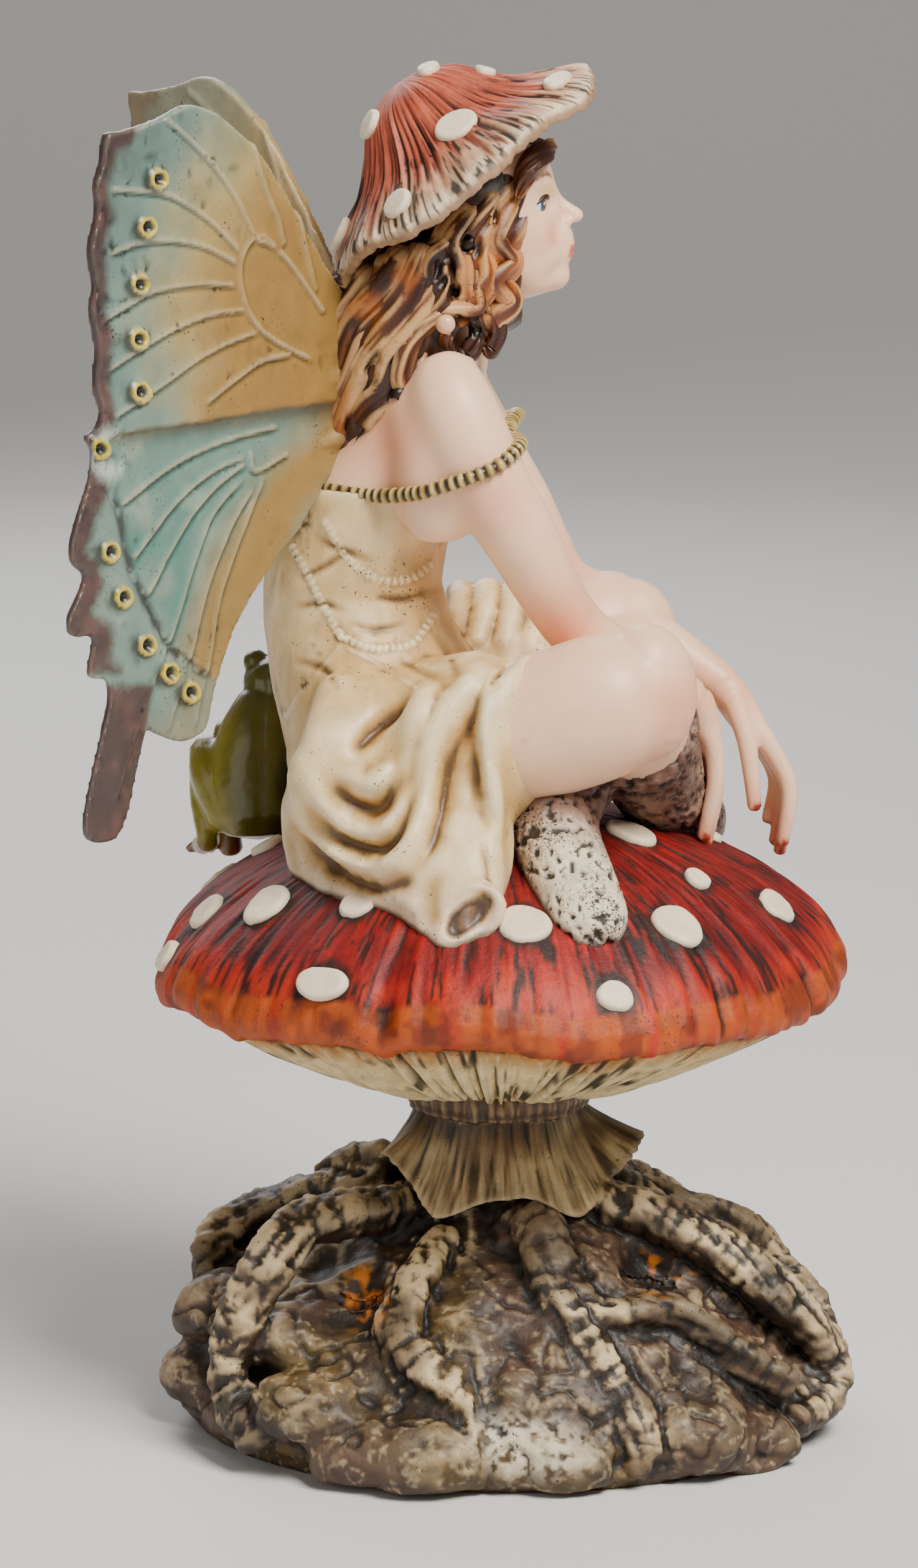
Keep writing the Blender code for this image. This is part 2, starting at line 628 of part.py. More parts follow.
def make_torso():
    """Body and dress, as level rings up the back, with the skirt spread over the cap."""
    rings = []
    # Height over the hips, way forward, and shares of the skirt's depth and width
    skirt = ((-26.0, 5.0, 1.04, 1.0), (-16.0, 5.0, 0.98, 0.96), (-6.0, 5.0, 0.94, 0.9),
             (4.0, 4.0, 0.97, 0.84), (12.0, 4.0, 1.0, 0.76), (19.0, 1.6, 0.96, 0.6))
    for height, forward, depth, width in skirt:
        middle = HIPS + Vector((forward, 0.0, height))
        rings.append(ring(middle, depth * SKIRT_DEPTH / 2, width * SKIRT_WIDTH / 2, square=0.8))
    # Share of the spine, way forward of it, half depth and half width
    trunk = ((0.33, -7.2, 15.6, 16.0), (0.43, -9.1, 14.6, 14.6), (0.54, -9.9, 14.4, 15.4),
             (0.66, -7.8, 14.0, 16.4), (0.77, -4.4, 13.2, 17.0), (0.87, -2.6, 11.0, 16.8),
             (0.94, -1.4, 8.0, 13.0), (1.0, 0.0, NECK_RADIUS, NECK_RADIUS))
    for share, forward, depth, width in trunk:
        middle = spine(share) + Vector((forward, 0.0, 0.0))
        rings.append(ring(middle, depth, width))
    pieces = [loft(rings)]
    # The bodice stands proud of the skin and covers the bust
    bodice = []
    for share, forward, depth, width in trunk[1:5]:
        middle = spine(share) + Vector((forward, 0.0, 0.0))
        bodice.append(ring(middle, depth + CLOTH_THICKNESS, width + CLOTH_THICKNESS))
    pieces.append(loft(bodice))
    for side in (-1, 1):
        middle = spine(0.7) + Vector((6.5, side * 0.34 * SHOULDER_WIDTH / 2, 0.0))
        pieces.append(ball(middle, (BUST_RADIUS, 0.9 * BUST_RADIUS, BUST_RADIUS)))
    # The skirt hangs in swags round her hips, over a hem that curls up in front: way forward
    # of the hips, share of the half width and height over the hips
    side_out = SKIRT_WIDTH / 2
    swags = (((-13, 0.6, 9), (-9, 0.8, 2), (-3, 0.9, -1), (2, 0.92, -1), (7, 0.9, 4), (12, 0.82, 14),
              (17, 0.72, 20)),
             ((-12, 0.64, 1), (-8, 0.82, -4), (-2, 0.92, -7), (3, 0.96, -7), (8, 0.94, -2),
              (12, 0.9, 6), (15, 0.84, 13), (20, 0.72, 19)),
             ((-13, 0.68, -7), (-8, 0.85, -13), (1, 0.97, -16), (7, 1.0, -14), (12, 0.96, -7),
              (16, 0.92, 2), (19, 0.86, 10)),
             ((-14, 0.6, -10), (-6, 0.84, -16), (3, 0.97, -21), (10, 1.02, -25), (17, 0.98, -22),
              (19, 0.9, -13)))
    corner = ((13, 0.6, 9), (14.5, 0.76, -6), (14, 0.82, -22))
    for side in (-1, 1):
        path = [HIPS + Vector((x, side * share * side_out, z)) for x, share, z in corner]
        pieces += limb(path, [2.0 * FOLD_RADIUS] * len(path))
        for swag in swags:
            tuck = 1.0 if side < 0 else 0.8
            path = [HIPS + Vector((x, side * tuck * share * side_out, z)) for x, share, z in swag]
            thick = [2.0] + [FOLD_RADIUS] * (len(path) - 2) + [2.0]
            pieces += limb(path, thick)
    # Cord round the top of the dress and over the upper arms
    half = SHOULDER_WIDTH / 2
    chest = spine(0.8)
    cord = ((12.4, 0.0, -2.2), (13.6, 0.5, -1.0), (17.4, 1.05, 0.2), (11.4, 1.48, -3.2), (6.0, 1.52, -5.2),
            (1.8, 1.39, -6.8), (-5.6, 1.0, -9.0), (-17.4, 0.7, -9.2), (-24.0, 0.0, -9.6))
    for side in (-1, 1):
        path = [chest + Vector((x, side * y * half, z)) for x, y, z in cord]
        pieces += limb(path, [CORD_RADIUS] * len(path))
    return pieces


def make_arm(side, toward_elbow, toward_wrist, forearm, palm, fingers):
    """Arm from the shoulder, with an open hand; palm and fingers are directions."""
    shoulder = spine(0.93) + Vector((3.0, side * SHOULDER_WIDTH / 2, 0.0))
    elbow = reach(shoulder, toward_elbow, UPPER_ARM_LENGTH)
    wrist = reach(elbow, toward_wrist, forearm)
    middle = shoulder.lerp(elbow, 0.5) + Vector((-0.6, side * 0.5, 0.0))
    pieces = limb((shoulder, middle, elbow),
                  (SHOULDER_RADIUS, 0.9 * SHOULDER_RADIUS, 0.72 * SHOULDER_RADIUS))
    pieces += limb((elbow, elbow.lerp(wrist, 0.5), wrist),
                   (0.74 * SHOULDER_RADIUS, 0.7 * SHOULDER_RADIUS, WRIST_RADIUS))
    knuckles = reach(wrist, palm, 0.46 * HAND_LENGTH)
    pieces += limb((wrist, knuckles), (0.98 * WRIST_RADIUS, 0.86 * WRIST_RADIUS))
    across = Vector(palm).cross(Vector((1.0, 0.0, 0.0))).normalized()
    for index, (spread, length) in enumerate(((-1.5, 0.42), (-0.5, 0.52), (0.5, 0.5), (1.5, 0.42))):
        start = knuckles + across * spread * 1.35 * FINGER_RADIUS
        bend = reach(start, palm, 0.2 * HAND_LENGTH)
        tip = reach(bend, fingers, (length - 0.1) * HAND_LENGTH)
        pieces += limb((start, bend, tip), (1.1 * FINGER_RADIUS, FINGER_RADIUS, 0.8 * FINGER_RADIUS))
    thumb = wrist.lerp(knuckles, 0.4) + across * 2.2 * FINGER_RADIUS
    tip = reach(thumb, Vector(palm) + across * 12.0, 0.36 * HAND_LENGTH)
    pieces += limb((wrist, thumb, tip), (1.2 * FINGER_RADIUS, 1.1 * FINGER_RADIUS, 0.8 * FINGER_RADIUS))
    return pieces


def make_leg(side, toward_knee, toward_ankle, toward_toe, cloth):
    """Bent leg; cloth is the share of the thigh that the dress covers."""
    hip = HIPS + Vector((4.0, side * HIP_WIDTH / 2, 5.0))
    knee = reach(hip, toward_knee, THIGH_LENGTH)
    ankle = reach(knee, toward_ankle, SHIN_LENGTH)
    toe = reach(ankle, toward_toe, FOOT_LENGTH)
    pieces = limb((hip, hip.lerp(knee, 0.5), knee), (1.1 * THIGH_RADIUS, THIGH_RADIUS, KNEE_RADIUS))
    calf = knee.lerp(ankle, 0.42)
    pieces += limb((knee, calf, ankle), (0.9 * KNEE_RADIUS, 0.76 * KNEE_RADIUS, ANKLE_RADIUS))
    ball_of_foot = ankle.lerp(toe, 0.6)
    pieces += limb((ankle, ball_of_foot, toe), (ANKLE_RADIUS * 1.05, FOOT_RADIUS, 0.68 * FOOT_RADIUS))
    hem = hip.lerp(knee, cloth)
    pieces += limb((hip, hem), (1.16 * THIGH_RADIUS, 1.08 * THIGH_RADIUS), round_ends=False)
    return pieces


def make_head():
    """Head, plain face, hair in locks and the toadstool hat."""
    head = SKULL
    tall = HEAD_HEIGHT / 2
    wide = HEAD_WIDTH / 2
    deep = HEAD_DEPTH / 2
    pieces = limb((NECK + Vector((-1.0, 0, -6)), NECK, SKULL - Vector((2.0, 0, 0.5 * tall))),
                  (1.3 * NECK_RADIUS, NECK_RADIUS, NECK_RADIUS))
    pieces.append(ball(head, (deep, wide, tall)))
    # Jaw, cheeks, brow, nose, lips and chin as shares of the head
    features = (((0.42, 0.0, -0.5), (0.6, 0.72, 0.5)), ((0.5, 0.0, 0.05), (0.52, 0.8, 0.72)),
                ((0.84, 0.0, -0.86), (0.2, 0.3, 0.16)), ((0.62, 0.42, -0.22), (0.28, 0.34, 0.26)),
                ((0.62, -0.42, -0.22), (0.28, 0.34, 0.26)), ((0.9, 0.0, -0.42), (0.14, 0.24, 0.09)),
                ((0.9, 0.0, -0.55), (0.12, 0.2, 0.08)), ((1.08, 0.0, -0.1), (0.16, 0.14, 0.13)))
    for (x, y, z), (a, b, c) in features:
        place = head + Vector((x * deep, y * wide, z * tall))
        pieces.append(ball(place, (a * deep, b * wide, c * tall)))
    bridge = (head + Vector((0.86 * deep, 0, 0.34 * tall)), head + Vector((1.0 * deep, 0, 0.1 * tall)),
              head + Vector((1.1 * deep, 0, -0.08 * tall)))
    pieces += limb(bridge, (1.1, 1.1, 1.5))
    # Hair: each lock runs over the head and down the back, on both sides
    locks = (((0.6, 0.65, 0.6), (0.34, 0.98, 0.1), (0.3, 0.96, -0.45), (0.34, 0.85, -1.05),
              (0.18, 0.75, -1.35)),
             ((0.3, 0.9, 0.6), (-0.1, 1.12, 0.05), (-0.02, 1.14, -0.6), (-0.18, 1.16, -1.0),
              (-0.02, 0.85, -1.7)),
             ((0.05, 0.95, 0.5), (-0.4, 1.24, -0.1), (-0.3, 1.32, -0.7), (-0.5, 1.36, -1.3),
              (-0.6, 1.15, -1.95)),
             ((-0.2, 0.95, 0.4), (-0.75, 1.3, -0.4), (-0.75, 1.42, -0.95), (-0.85, 1.52, -1.5),
              (-0.95, 1.5, -2.2)),
             ((-0.4, 0.85, 0.2), (-1.05, 1.2, -0.7), (-1.1, 1.35, -1.2), (-1.3, 1.45, -1.8),
              (-1.4, 1.3, -2.4)),
             ((-0.5, 0.7, 0.1), (-1.3, 0.95, -0.8), (-1.45, 1.1, -1.5), (-1.65, 1.0, -2.2),
              (-1.9, 0.7, -3.0)),
             ((-0.5, 0.3, 0.2), (-1.5, 0.45, -0.9), (-1.75, 0.6, -1.6), (-1.95, 0.5, -2.4),
              (-2.3, 0.3, -3.3)),
             ((-0.5, 0.05, 0.2), (-1.5, 0.1, -0.7), (-1.8, 0.1, -1.5), (-2.1, 0.1, -2.4),
              (-2.45, 0.1, -3.5)))
    for lock in locks:
        for side in (-1, 1):
            path = [head + Vector((x * deep, side * y * wide, z * tall)) for x, y, z in lock]
            pieces += limb(path, [HAIR_RADIUS * share for share in (1.0, 1.0, 1.0, 0.9, 0.5)])
    # The mass of hair under the locks
    mass = [head + Vector((x * deep, 0.0, z * tall)) for x, z in ((-0.2, 0.05), (-0.75, -0.6), (-1.2, -1.5),
                                                                  (-1.6, -2.3), (-2.1, -3.2))]
    pieces += limb(mass, (11.6, 10.6, 9.2, 6.6, 3.0))
    # Hat: a turned bell with a flared brim, tipped back
    shares = ((0.0, 1.0), (0.17, 0.955), (0.31, 0.84), (0.42, 0.67), (0.53, 0.49), (0.67, 0.32),
              (0.84, 0.19), (0.97, 0.08), (1.0, -0.02), (0.95, -0.07), (0.7, 0.0), (0.5, -0.1), (0.0, -0.1))
    hat = turned([(out * HAT_RADIUS, high * HAT_HEIGHT) for out, high in shares], steps=48)

    def wavy(point):
        out = math.hypot(point.x, point.y) / HAT_RADIUS
        angle = math.atan2(point.y, point.x)
        return (point.x, point.y, point.z + 1.1 * out ** 3 * math.sin(5 * angle + 0.8))

    displace(hat, wavy)
    place = head + Vector((-0.31 * deep, 0, 0.51 * tall))
    tip = Matrix.Rotation(-math.radians(HAT_TILT), 4, "Y")
    hat.data.transform(Matrix.Translation(place * MM) @ tip)
    pieces.append(hat)
    for out, around, size in ((0.42, 262, 3.4), (0.62, 228, 3.0), (0.5, 60, 3.4), (0.62, 150, 3.2),
                              (0.3, 190, 3.2), (0.75, 20, 3.0)):
        angle = math.radians(around)
        high = 0.62 - 0.62 * (out - 0.3)
        spot = Vector((out * HAT_RADIUS * math.cos(angle), out * HAT_RADIUS * math.sin(angle),
                       high * HAT_HEIGHT))
        lean = tip @ Matrix.Rotation(angle, 4, "Z") @ Matrix.Rotation(math.radians(42), 4, "Y")
        pieces.append(ball(place + tip @ spot, (size, size, size * 0.45), lean))
    return pieces


def make_fairy():
    """The seated fairy, cast as one piece."""
    pieces = make_torso()
    pieces += make_arm(-1, (19, 7, -42), (20, 8, -14), RIGHT_FOREARM_LENGTH, (6, 1, -9), (-1.5, 0, -9))
    pieces += make_arm(1, (16, 5, -40), (30, -12, -16), LEFT_FOREARM_LENGTH, (9, -1, -11), (4, 0, -10))
    pieces += make_leg(-1, (39, -8, 11), (9, 32, -26), (8, 20, -7), 0.4)
    pieces += make_leg(1, (40, 4, 14), (-13.5, -41, -24), (6.5, -20, -12.5), 0.75)
    pieces += make_head()
    return fuse("fairy", pieces, voxel=0.8, triangles=4900, smooth=1)


def make_frog():
    """The frog that sits on the cap behind her, facing away."""
    tall = FROG_HEIGHT
    half = FROG_WIDTH / 2
    seat = FROG_SEAT
    pieces = limb((seat + Vector((0, -1, 0.24 * tall)), seat + Vector((1, 1, 0.5 * tall)),
                   seat + Vector((3, 2, 0.74 * tall))), (half, 0.93 * half, 0.7 * half))
    head = seat + Vector((3.5, 4, 0.86 * tall))
    pieces.append(ball(head, (0.78 * half, 0.9 * half, 0.6 * half)))
    for side in (-1, 1):
        pieces.append(ball(head + Vector((side * 0.5 * half, 0, 0.5 * half)), (2.4, 2.4, 2.4)))
        hip = seat + Vector((side * 0.5 * half, -2, 0.24 * tall))
        knee = seat + Vector((side * 1.12 * half, 5, 0.52 * tall))
        ankle = seat + Vector((side * 1.05 * half, -1, 0.1 * tall))
        toes = seat + Vector((side * 1.2 * half, 6, 0.0))
        pieces += limb((hip, knee), (1.15 * FROG_LEG_RADIUS, 0.95 * FROG_LEG_RADIUS))
        pieces += limb((knee, ankle), (0.95 * FROG_LEG_RADIUS, 0.7 * FROG_LEG_RADIUS))
        pieces += limb((ankle, toes), (0.75 * FROG_LEG_RADIUS, 0.9 * FROG_LEG_RADIUS))
        shoulder = seat + Vector((side * 0.55 * half, 5, 0.6 * tall))
        elbow = seat + Vector((side * 0.8 * half, 8, 0.34 * tall))
        hand = seat + Vector((side * 0.6 * half, 9, -0.06 * tall))
        pieces += limb((shoulder, elbow, hand), (FROG_LEG_RADIUS, 0.8 * FROG_LEG_RADIUS,
                                                 0.9 * FROG_LEG_RADIUS))
    return fuse("frog", pieces, voxel=0.7, triangles=900, smooth=2)


clear_scene()
PART = make_collection("fairy_figurine")
CUTTERS = make_collection("cutters")

# The fairy's main points, from the level of her hem
HIPS = Vector((-22.0, 0.0, HEM_LEVEL + 18.0))
NECK = reach(HIPS, (14.0, 0.0, 74.0), SPINE_LENGTH)
SKULL = reach(NECK, (4.6, 0.0, 10.0), NECK_LENGTH) + Vector((1.4, 0.0, 0.44 * HEAD_HEIGHT))
WING_ROOT = spine(1.0) + Vector((-18.0, 0.0, 6.0))
WING_SPLIT = 16.0
# The frog's seat on the dome
SKIRT_BACK = HIPS.x + 5.0 - SKIRT_DEPTH / 2
FROG_SEAT = Vector((SKIRT_BACK + 1.5 - FROG_WIDTH / 2, 0.385 * SKIRT_WIDTH, HEM_LEVEL - 4.5))

base = make_base()
cap = make_cap()
wing_right = wing_form("wing_right", -1)
wing_left = wing_form("wing_left", 1)
fairy = make_fairy()
seat_on(fairy, cap_form(CLEARANCE))
seat_on(fairy, wing_form("right_slot", -1, CLEARANCE))
seat_on(fairy, wing_form("left_slot", 1, CLEARANCE))
frog = seat_on(make_frog(), cap_form(CLEARANCE))

finish(base, make_material("bark_and_rock", (0.16, 0.11, 0.08), 0.7))
finish(cap, make_material("red_cap", (0.42, 0.05, 0.04), 0.45))
finish(wing_right, make_material("wing_paint_right", (0.55, 0.45, 0.3), 0.5))
finish(wing_left, make_material("wing_paint_left", (0.55, 0.45, 0.3), 0.5))
finish(fairy, make_material("figure_paint", (0.72, 0.62, 0.5), 0.5))
finish(frog, make_material("frog_green", (0.2, 0.22, 0.06), 0.45))
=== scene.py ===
"""Looks of the fairy figurine: sculpted and painted pieces over the cast solids.

Lengths are in millimetres until a mesh is made. Pixel places are those of the 1475 by 2520
photograph. Relief and paint that are drawn on the near side are mirrored onto the far side.
"""
import math
import bpy
import numpy as np
from mathutils import Matrix, Vector
from mathutils.geometry import tessellate_polygon


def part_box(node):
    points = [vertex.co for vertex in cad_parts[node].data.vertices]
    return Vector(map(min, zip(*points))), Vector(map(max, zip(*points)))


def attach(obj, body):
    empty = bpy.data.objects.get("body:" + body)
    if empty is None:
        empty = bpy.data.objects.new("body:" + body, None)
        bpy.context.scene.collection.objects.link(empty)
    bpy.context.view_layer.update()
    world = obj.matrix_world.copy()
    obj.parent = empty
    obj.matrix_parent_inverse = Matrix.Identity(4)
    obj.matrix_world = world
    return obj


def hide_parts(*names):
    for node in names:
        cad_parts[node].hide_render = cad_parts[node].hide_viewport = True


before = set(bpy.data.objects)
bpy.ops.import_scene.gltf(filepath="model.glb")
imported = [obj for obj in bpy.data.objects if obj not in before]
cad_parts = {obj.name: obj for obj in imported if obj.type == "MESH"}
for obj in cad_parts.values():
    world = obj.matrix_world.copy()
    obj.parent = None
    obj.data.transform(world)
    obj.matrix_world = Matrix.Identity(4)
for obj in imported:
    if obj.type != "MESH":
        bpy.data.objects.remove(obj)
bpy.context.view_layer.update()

MM = 0.001

# Camera, as fitted to the photograph
PHOTO_WIDTH = 1475.0
PHOTO_HEIGHT = 2520.0
FOCAL = 8742.0
CAMERA = np.array((-7.0, -939.0, 296.0))
LOOK_AT = np.array((-7.0, 0.0, 114.0))
TILT = math.atan2(CAMERA[2] - LOOK_AT[2], LOOK_AT[1] - CAMERA[1])
AHEAD = np.array((0.0, math.cos(TILT), -math.sin(TILT)))
UPWARD = np.array((0.0, math.sin(TILT), math.cos(TILT)))

# Paint is stored a little richer and deeper than it is named, as the studio lamps make it paler
RICHNESS = 1.22
DEEPNESS = 1.12

# Thousands of triangles that each piece keeps at most
THOUSANDS = {"rootstock": 180, "toadstool_cap": 125, "hair_locks": 120, "dress": 95, "torso": 60,
             "hat": 70,
             "wing_right_dressed": 52, "socks": 42, "head": 38, "frog_dressed": 24, "stalk_skirt": 30,
             "stalk_collar": 14, "hair_mass": 14, "leg_left": 13, "leg_right": 13, "cap_spots": 13,
             "cord": 16}

# Top of the cap, from its solid
CAP_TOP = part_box("mushroom_cap")[1][2] / MM


def ray(u, v):
    """Direction of the line of sight through a pixel."""
    across = (u - PHOTO_WIDTH / 2) / FOCAL
    up = (PHOTO_HEIGHT / 2 - v) / FOCAL
    return AHEAD + np.array((across, 0.0, 0.0)) + UPWARD * up


def at_depth(u, v, y):
    """The point seen at a pixel on the upright plane at depth y."""
    sight = ray(u, v)
    return CAMERA + sight * (y - CAMERA[1]) / sight[1]


def seen_at(points):
    """Pixels of points; points beyond the middle plane are drawn as their mirror images."""
    near = points.copy()
    near[:, 1] = -np.abs(near[:, 1])
    offset = near - CAMERA
    depth = offset @ AHEAD
    u = PHOTO_WIDTH / 2 + FOCAL * offset[:, 0] / depth
    v = PHOTO_HEIGHT / 2 - FOCAL * (offset @ UPWARD) / depth
    return np.stack((u, v), axis=1)


def curve_through(knots, steps=8):
    """A smooth line through knots, as an array of points."""
    knots = np.array([tuple(knot) for knot in knots], dtype=float)
    if len(knots) == 2:
        share = np.linspace(0, 1, steps + 1)[:, None]
        return knots[0] * (1 - share) + knots[1] * share
    padded = np.vstack((2 * knots[0] - knots[1], knots, 2 * knots[-1] - knots[-2]))
    line = []
    for index in range(1, len(padded) - 2):
        a, b, c, d = padded[index - 1:index + 3]
        for t in np.arange(steps) / steps:
            line.append(0.5 * (2 * b + (c - a) * t + (2 * a - 5 * b + 4 * c - d) * t ** 2
                               + (3 * b - a - 3 * c + d) * t ** 3))
    line.append(padded[-2])
    return np.array(line)


def lattice(cell, seed):
    """A fixed random value between -1 and 1 for each cell of a lattice."""
    mixed = (cell[:, 0] * 73856093) ^ (cell[:, 1] * 19349663) ^ (cell[:, 2] * 83492791) ^ (seed * 2654435)
    mixed = (mixed ^ (mixed >> 13)) & 0x7FFFFFFF
    mixed = (mixed * 1274126177) & 0x7FFFFFFF
    mixed = (mixed ^ (mixed >> 15)) & 0xFFFFFF
    return mixed / float(0xFFFFFF) * 2 - 1


def noise(points, size, seed=0, octaves=1):
    """Smooth noise between about -1 and 1, with that size of lump."""
    total = np.zeros(len(points))
    strength = 1.0
    for octave in range(octaves):
        place = points / size + 31.7 * (octave + 1)
        cell = np.floor(place).astype(np.int64)
        inside = place - cell
        inside = inside * inside * (3 - 2 * inside)
        for corner in range(8):
            step = np.array([(corner >> axis) & 1 for axis in range(3)])
            weight = np.prod(np.where(step, inside, 1 - inside), axis=1)
            total += strength * weight * lattice(cell + step, seed + octave)
        size *= 0.5
        strength *= 0.5
    return total


def fade(value, start, end):
    """0 before start and 1 past end, smooth between them."""
    share = np.clip((value - start) / (end - start), 0.0, 1.0)
    return share * share * (3 - 2 * share)


def along(points, line):
    """Distance of each point from a line, and the share of the line's length there."""
    steps = np.linalg.norm(np.diff(line, axis=0), axis=1)
    total = max(steps.sum(), 1e-9)
    best = np.full(len(points), 1e9)
    where = np.zeros(len(points))
    start = 0.0
    for a, b, step in zip(line, line[1:], steps):
        if step < 1e-9:
            continue
        course = b - a
        share = np.clip((points - a) @ course / (step * step), 0.0, 1.0)
        gap = np.linalg.norm(points - a - share[:, None] * course, axis=1)
        closer = gap < best
        best[closer] = gap[closer]
        where[closer] = ((start + share * step) / total)[closer]
        start += step
    return best, where


def stroke(points, knots, width, ends=0.12):
    """Strength of a brush stroke through knots: 1 on its line, 0 a width away, thin at its ends."""
    line = curve_through(knots, 6)
    near = np.all((points > line.min(axis=0) - width) & (points < line.max(axis=0) + width), axis=1)
    strength = np.zeros(len(points))
    if near.any():
        gap, where = along(points[near], line)
        body = np.clip(1 - (gap / width) ** 2, 0, 1) ** 2
        tip = np.clip(np.minimum(where, 1 - where) / max(ends, 1e-6), 0, 1) ** 0.7 if ends else 1.0
        strength[near] = body * tip
    return strength


def strokes(points, lines, width, ends=0.12):
    """The strongest of several strokes at each point."""
    best = np.zeros(len(points))
    for knots in lines:
        best = np.maximum(best, stroke(points, knots, width, ends))
    return best


def blob(points, centre, radii, turn=0.0):
    """Distance from a spot's centre in units of its radii, for a spot turned by degrees."""
    angle = math.radians(turn)
    offset = points - np.array(centre)
    x = offset[:, 0] * math.cos(angle) + offset[:, 1] * math.sin(angle)
    y = -offset[:, 0] * math.sin(angle) + offset[:, 1] * math.cos(angle)
    return np.hypot(x / radii[0], y / radii[1])


def mix(colour, other, amount):
    """Colours moved towards another by an amount for each point."""
    return colour + (np.array(other) - colour) * np.clip(amount, 0, 1)[:, None]


def tube(knots, radii, sides=16, steps=6, flat=1.0, lean=0.0, ribs=0, rib=0.0, twist=0.0):
    """A tapered tube with round ends: points and faces. flat squeezes it, ribs groove it."""
    line = curve_through(knots, steps)
    size = curve_through([(radius,) for radius in radii], steps)[:, 0]
    if len(size) != len(line):
        size = np.interp(np.linspace(0, 1, len(line)), np.linspace(0, 1, len(size)), size)
    size = np.maximum(size, 0.05)
    course = np.gradient(line, axis=0)
    course /= np.linalg.norm(course, axis=1)[:, None] + 1e-12
    side = np.cross(course[0], (0.0, 0.0, 1.0) if abs(course[0][2]) < 0.9 else (1.0, 0.0, 0.0))
    rings = []
    angles = np.arange(sides) * 2 * np.pi / sides
    for index, (point, ahead, radius) in enumerate(zip(line, course, size)):
        side = side - ahead * (side @ ahead)
        side /= np.linalg.norm(side)
        up = np.cross(ahead, side)
        turn = angles + lean + twist * index / len(line)
        swell = radius * (1 + rib * np.cos(ribs * angles))
        ring = point + (np.cos(turn) * swell)[:, None] * side + (np.sin(turn) * swell * flat)[:,
                                                                                              None] * up
        rings.append(ring)
    first = line[0] - course[0] * size[0] * 0.55
    last = line[-1] + course[-1] * size[-1] * 0.55
    start_ring = line[0] - course[0] * size[0] * 0.4 + (rings[0] - line[0]) * 0.72
    end_ring = line[-1] + course[-1] * size[-1] * 0.4 + (rings[-1] - line[-1]) * 0.72
    return stack([start_ring, *rings, end_ring], first, last)


def stack(rings, first, last):
    """Closes a stack of rings with a point at each end."""
    sides = len(rings[0])
    points = np.vstack((*rings, first, last))
    faces = []
    for index in range(len(rings) - 1):
        low = index * sides
        for step in range(sides):
            after = (step + 1) % sides
            faces.append((low + step, low + after, low + sides + after, low + sides + step))
    end = (len(rings) - 1) * sides
    tip = len(points) - 2
    for step in range(sides):
        after = (step + 1) % sides
        faces.append((after, step, tip))
        faces.append((end + step, end + after, tip + 1))
    return points, faces


def ball(centre, radii, turn=None, sides=20):
    """An ellipsoid, turned by a rotation matrix."""
    levels = np.linspace(-np.pi / 2, np.pi / 2, sides // 2 + 1)[1:-1]
    angles = np.arange(sides) * 2 * np.pi / sides
    rings = [np.stack((np.cos(level) * np.cos(angles), np.cos(level) * np.sin(angles),
                       np.full(sides, np.sin(level))), axis=1) for level in levels]
    points, faces = stack(rings, np.array((0.0, 0.0, -1.0)), np.array((0.0, 0.0, 1.0)))
    points = points * np.array(radii)
    if turn is not None:
        points = points @ np.array(turn.to_3x3()).T
    return points + np.array(tuple(centre)), faces


def level_rings(sections, sides=48):
    """A closed form through level ellipses: middle, half depth, half width and front boxiness."""
    rings = []
    angles = np.arange(sides) * 2 * np.pi / sides
    for middle, half_depth, half_width, square in sections:
        power = np.where(np.cos(angles) > 0, square, 1.0)
        x = middle[0] + half_depth * np.sign(np.cos(angles)) * np.abs(np.cos(angles)) ** power
        y = middle[1] + half_width * np.sign(np.sin(angles)) * np.abs(np.sin(angles)) ** power
        rings.append(np.stack((x, y, np.full(sides, middle[2])), axis=1))
    return stack(rings, rings[0].mean(axis=0), rings[-1].mean(axis=0))


def add_object(name, points, faces):
    """A smooth shaded object from points in millimetres."""
    mesh = bpy.data.meshes.new(name)
    mesh.from_pydata((np.asarray(points) * MM).tolist(), [], faces)
    mesh.validate()
    mesh.shade_smooth()
    item = bpy.data.objects.new(name, mesh)
    bpy.context.scene.collection.objects.link(item)
    return item


def bake(item):
    """Puts an object's modifiers into its mesh."""
    graph = bpy.context.evaluated_depsgraph_get()
    mesh = bpy.data.meshes.new_from_object(item.evaluated_get(graph))
    item.modifiers.clear()
    old = item.data
    item.data = mesh
    bpy.data.meshes.remove(old)
    item.data.shade_smooth()
    return item


def melt(name, shapes, voxel, soften=3):
    """Melts closed shapes into one skin, as sculpted clay."""
    points = []
    faces = []
    count = 0
    for shape_points, shape_faces in shapes:
        points.append(shape_points)
        faces += [tuple(corner + count for corner in face) for face in shape_faces]
        count += len(shape_points)
    item = add_object(name, np.vstack(points), faces)
    remesh = item.modifiers.new("melt", "REMESH")
    remesh.mode = "VOXEL"
    remesh.voxel_size = voxel * MM
    if soften:
        smooth = item.modifiers.new("soften", "SMOOTH")
        smooth.factor = 0.5
        smooth.iterations = soften
    return bake(item)


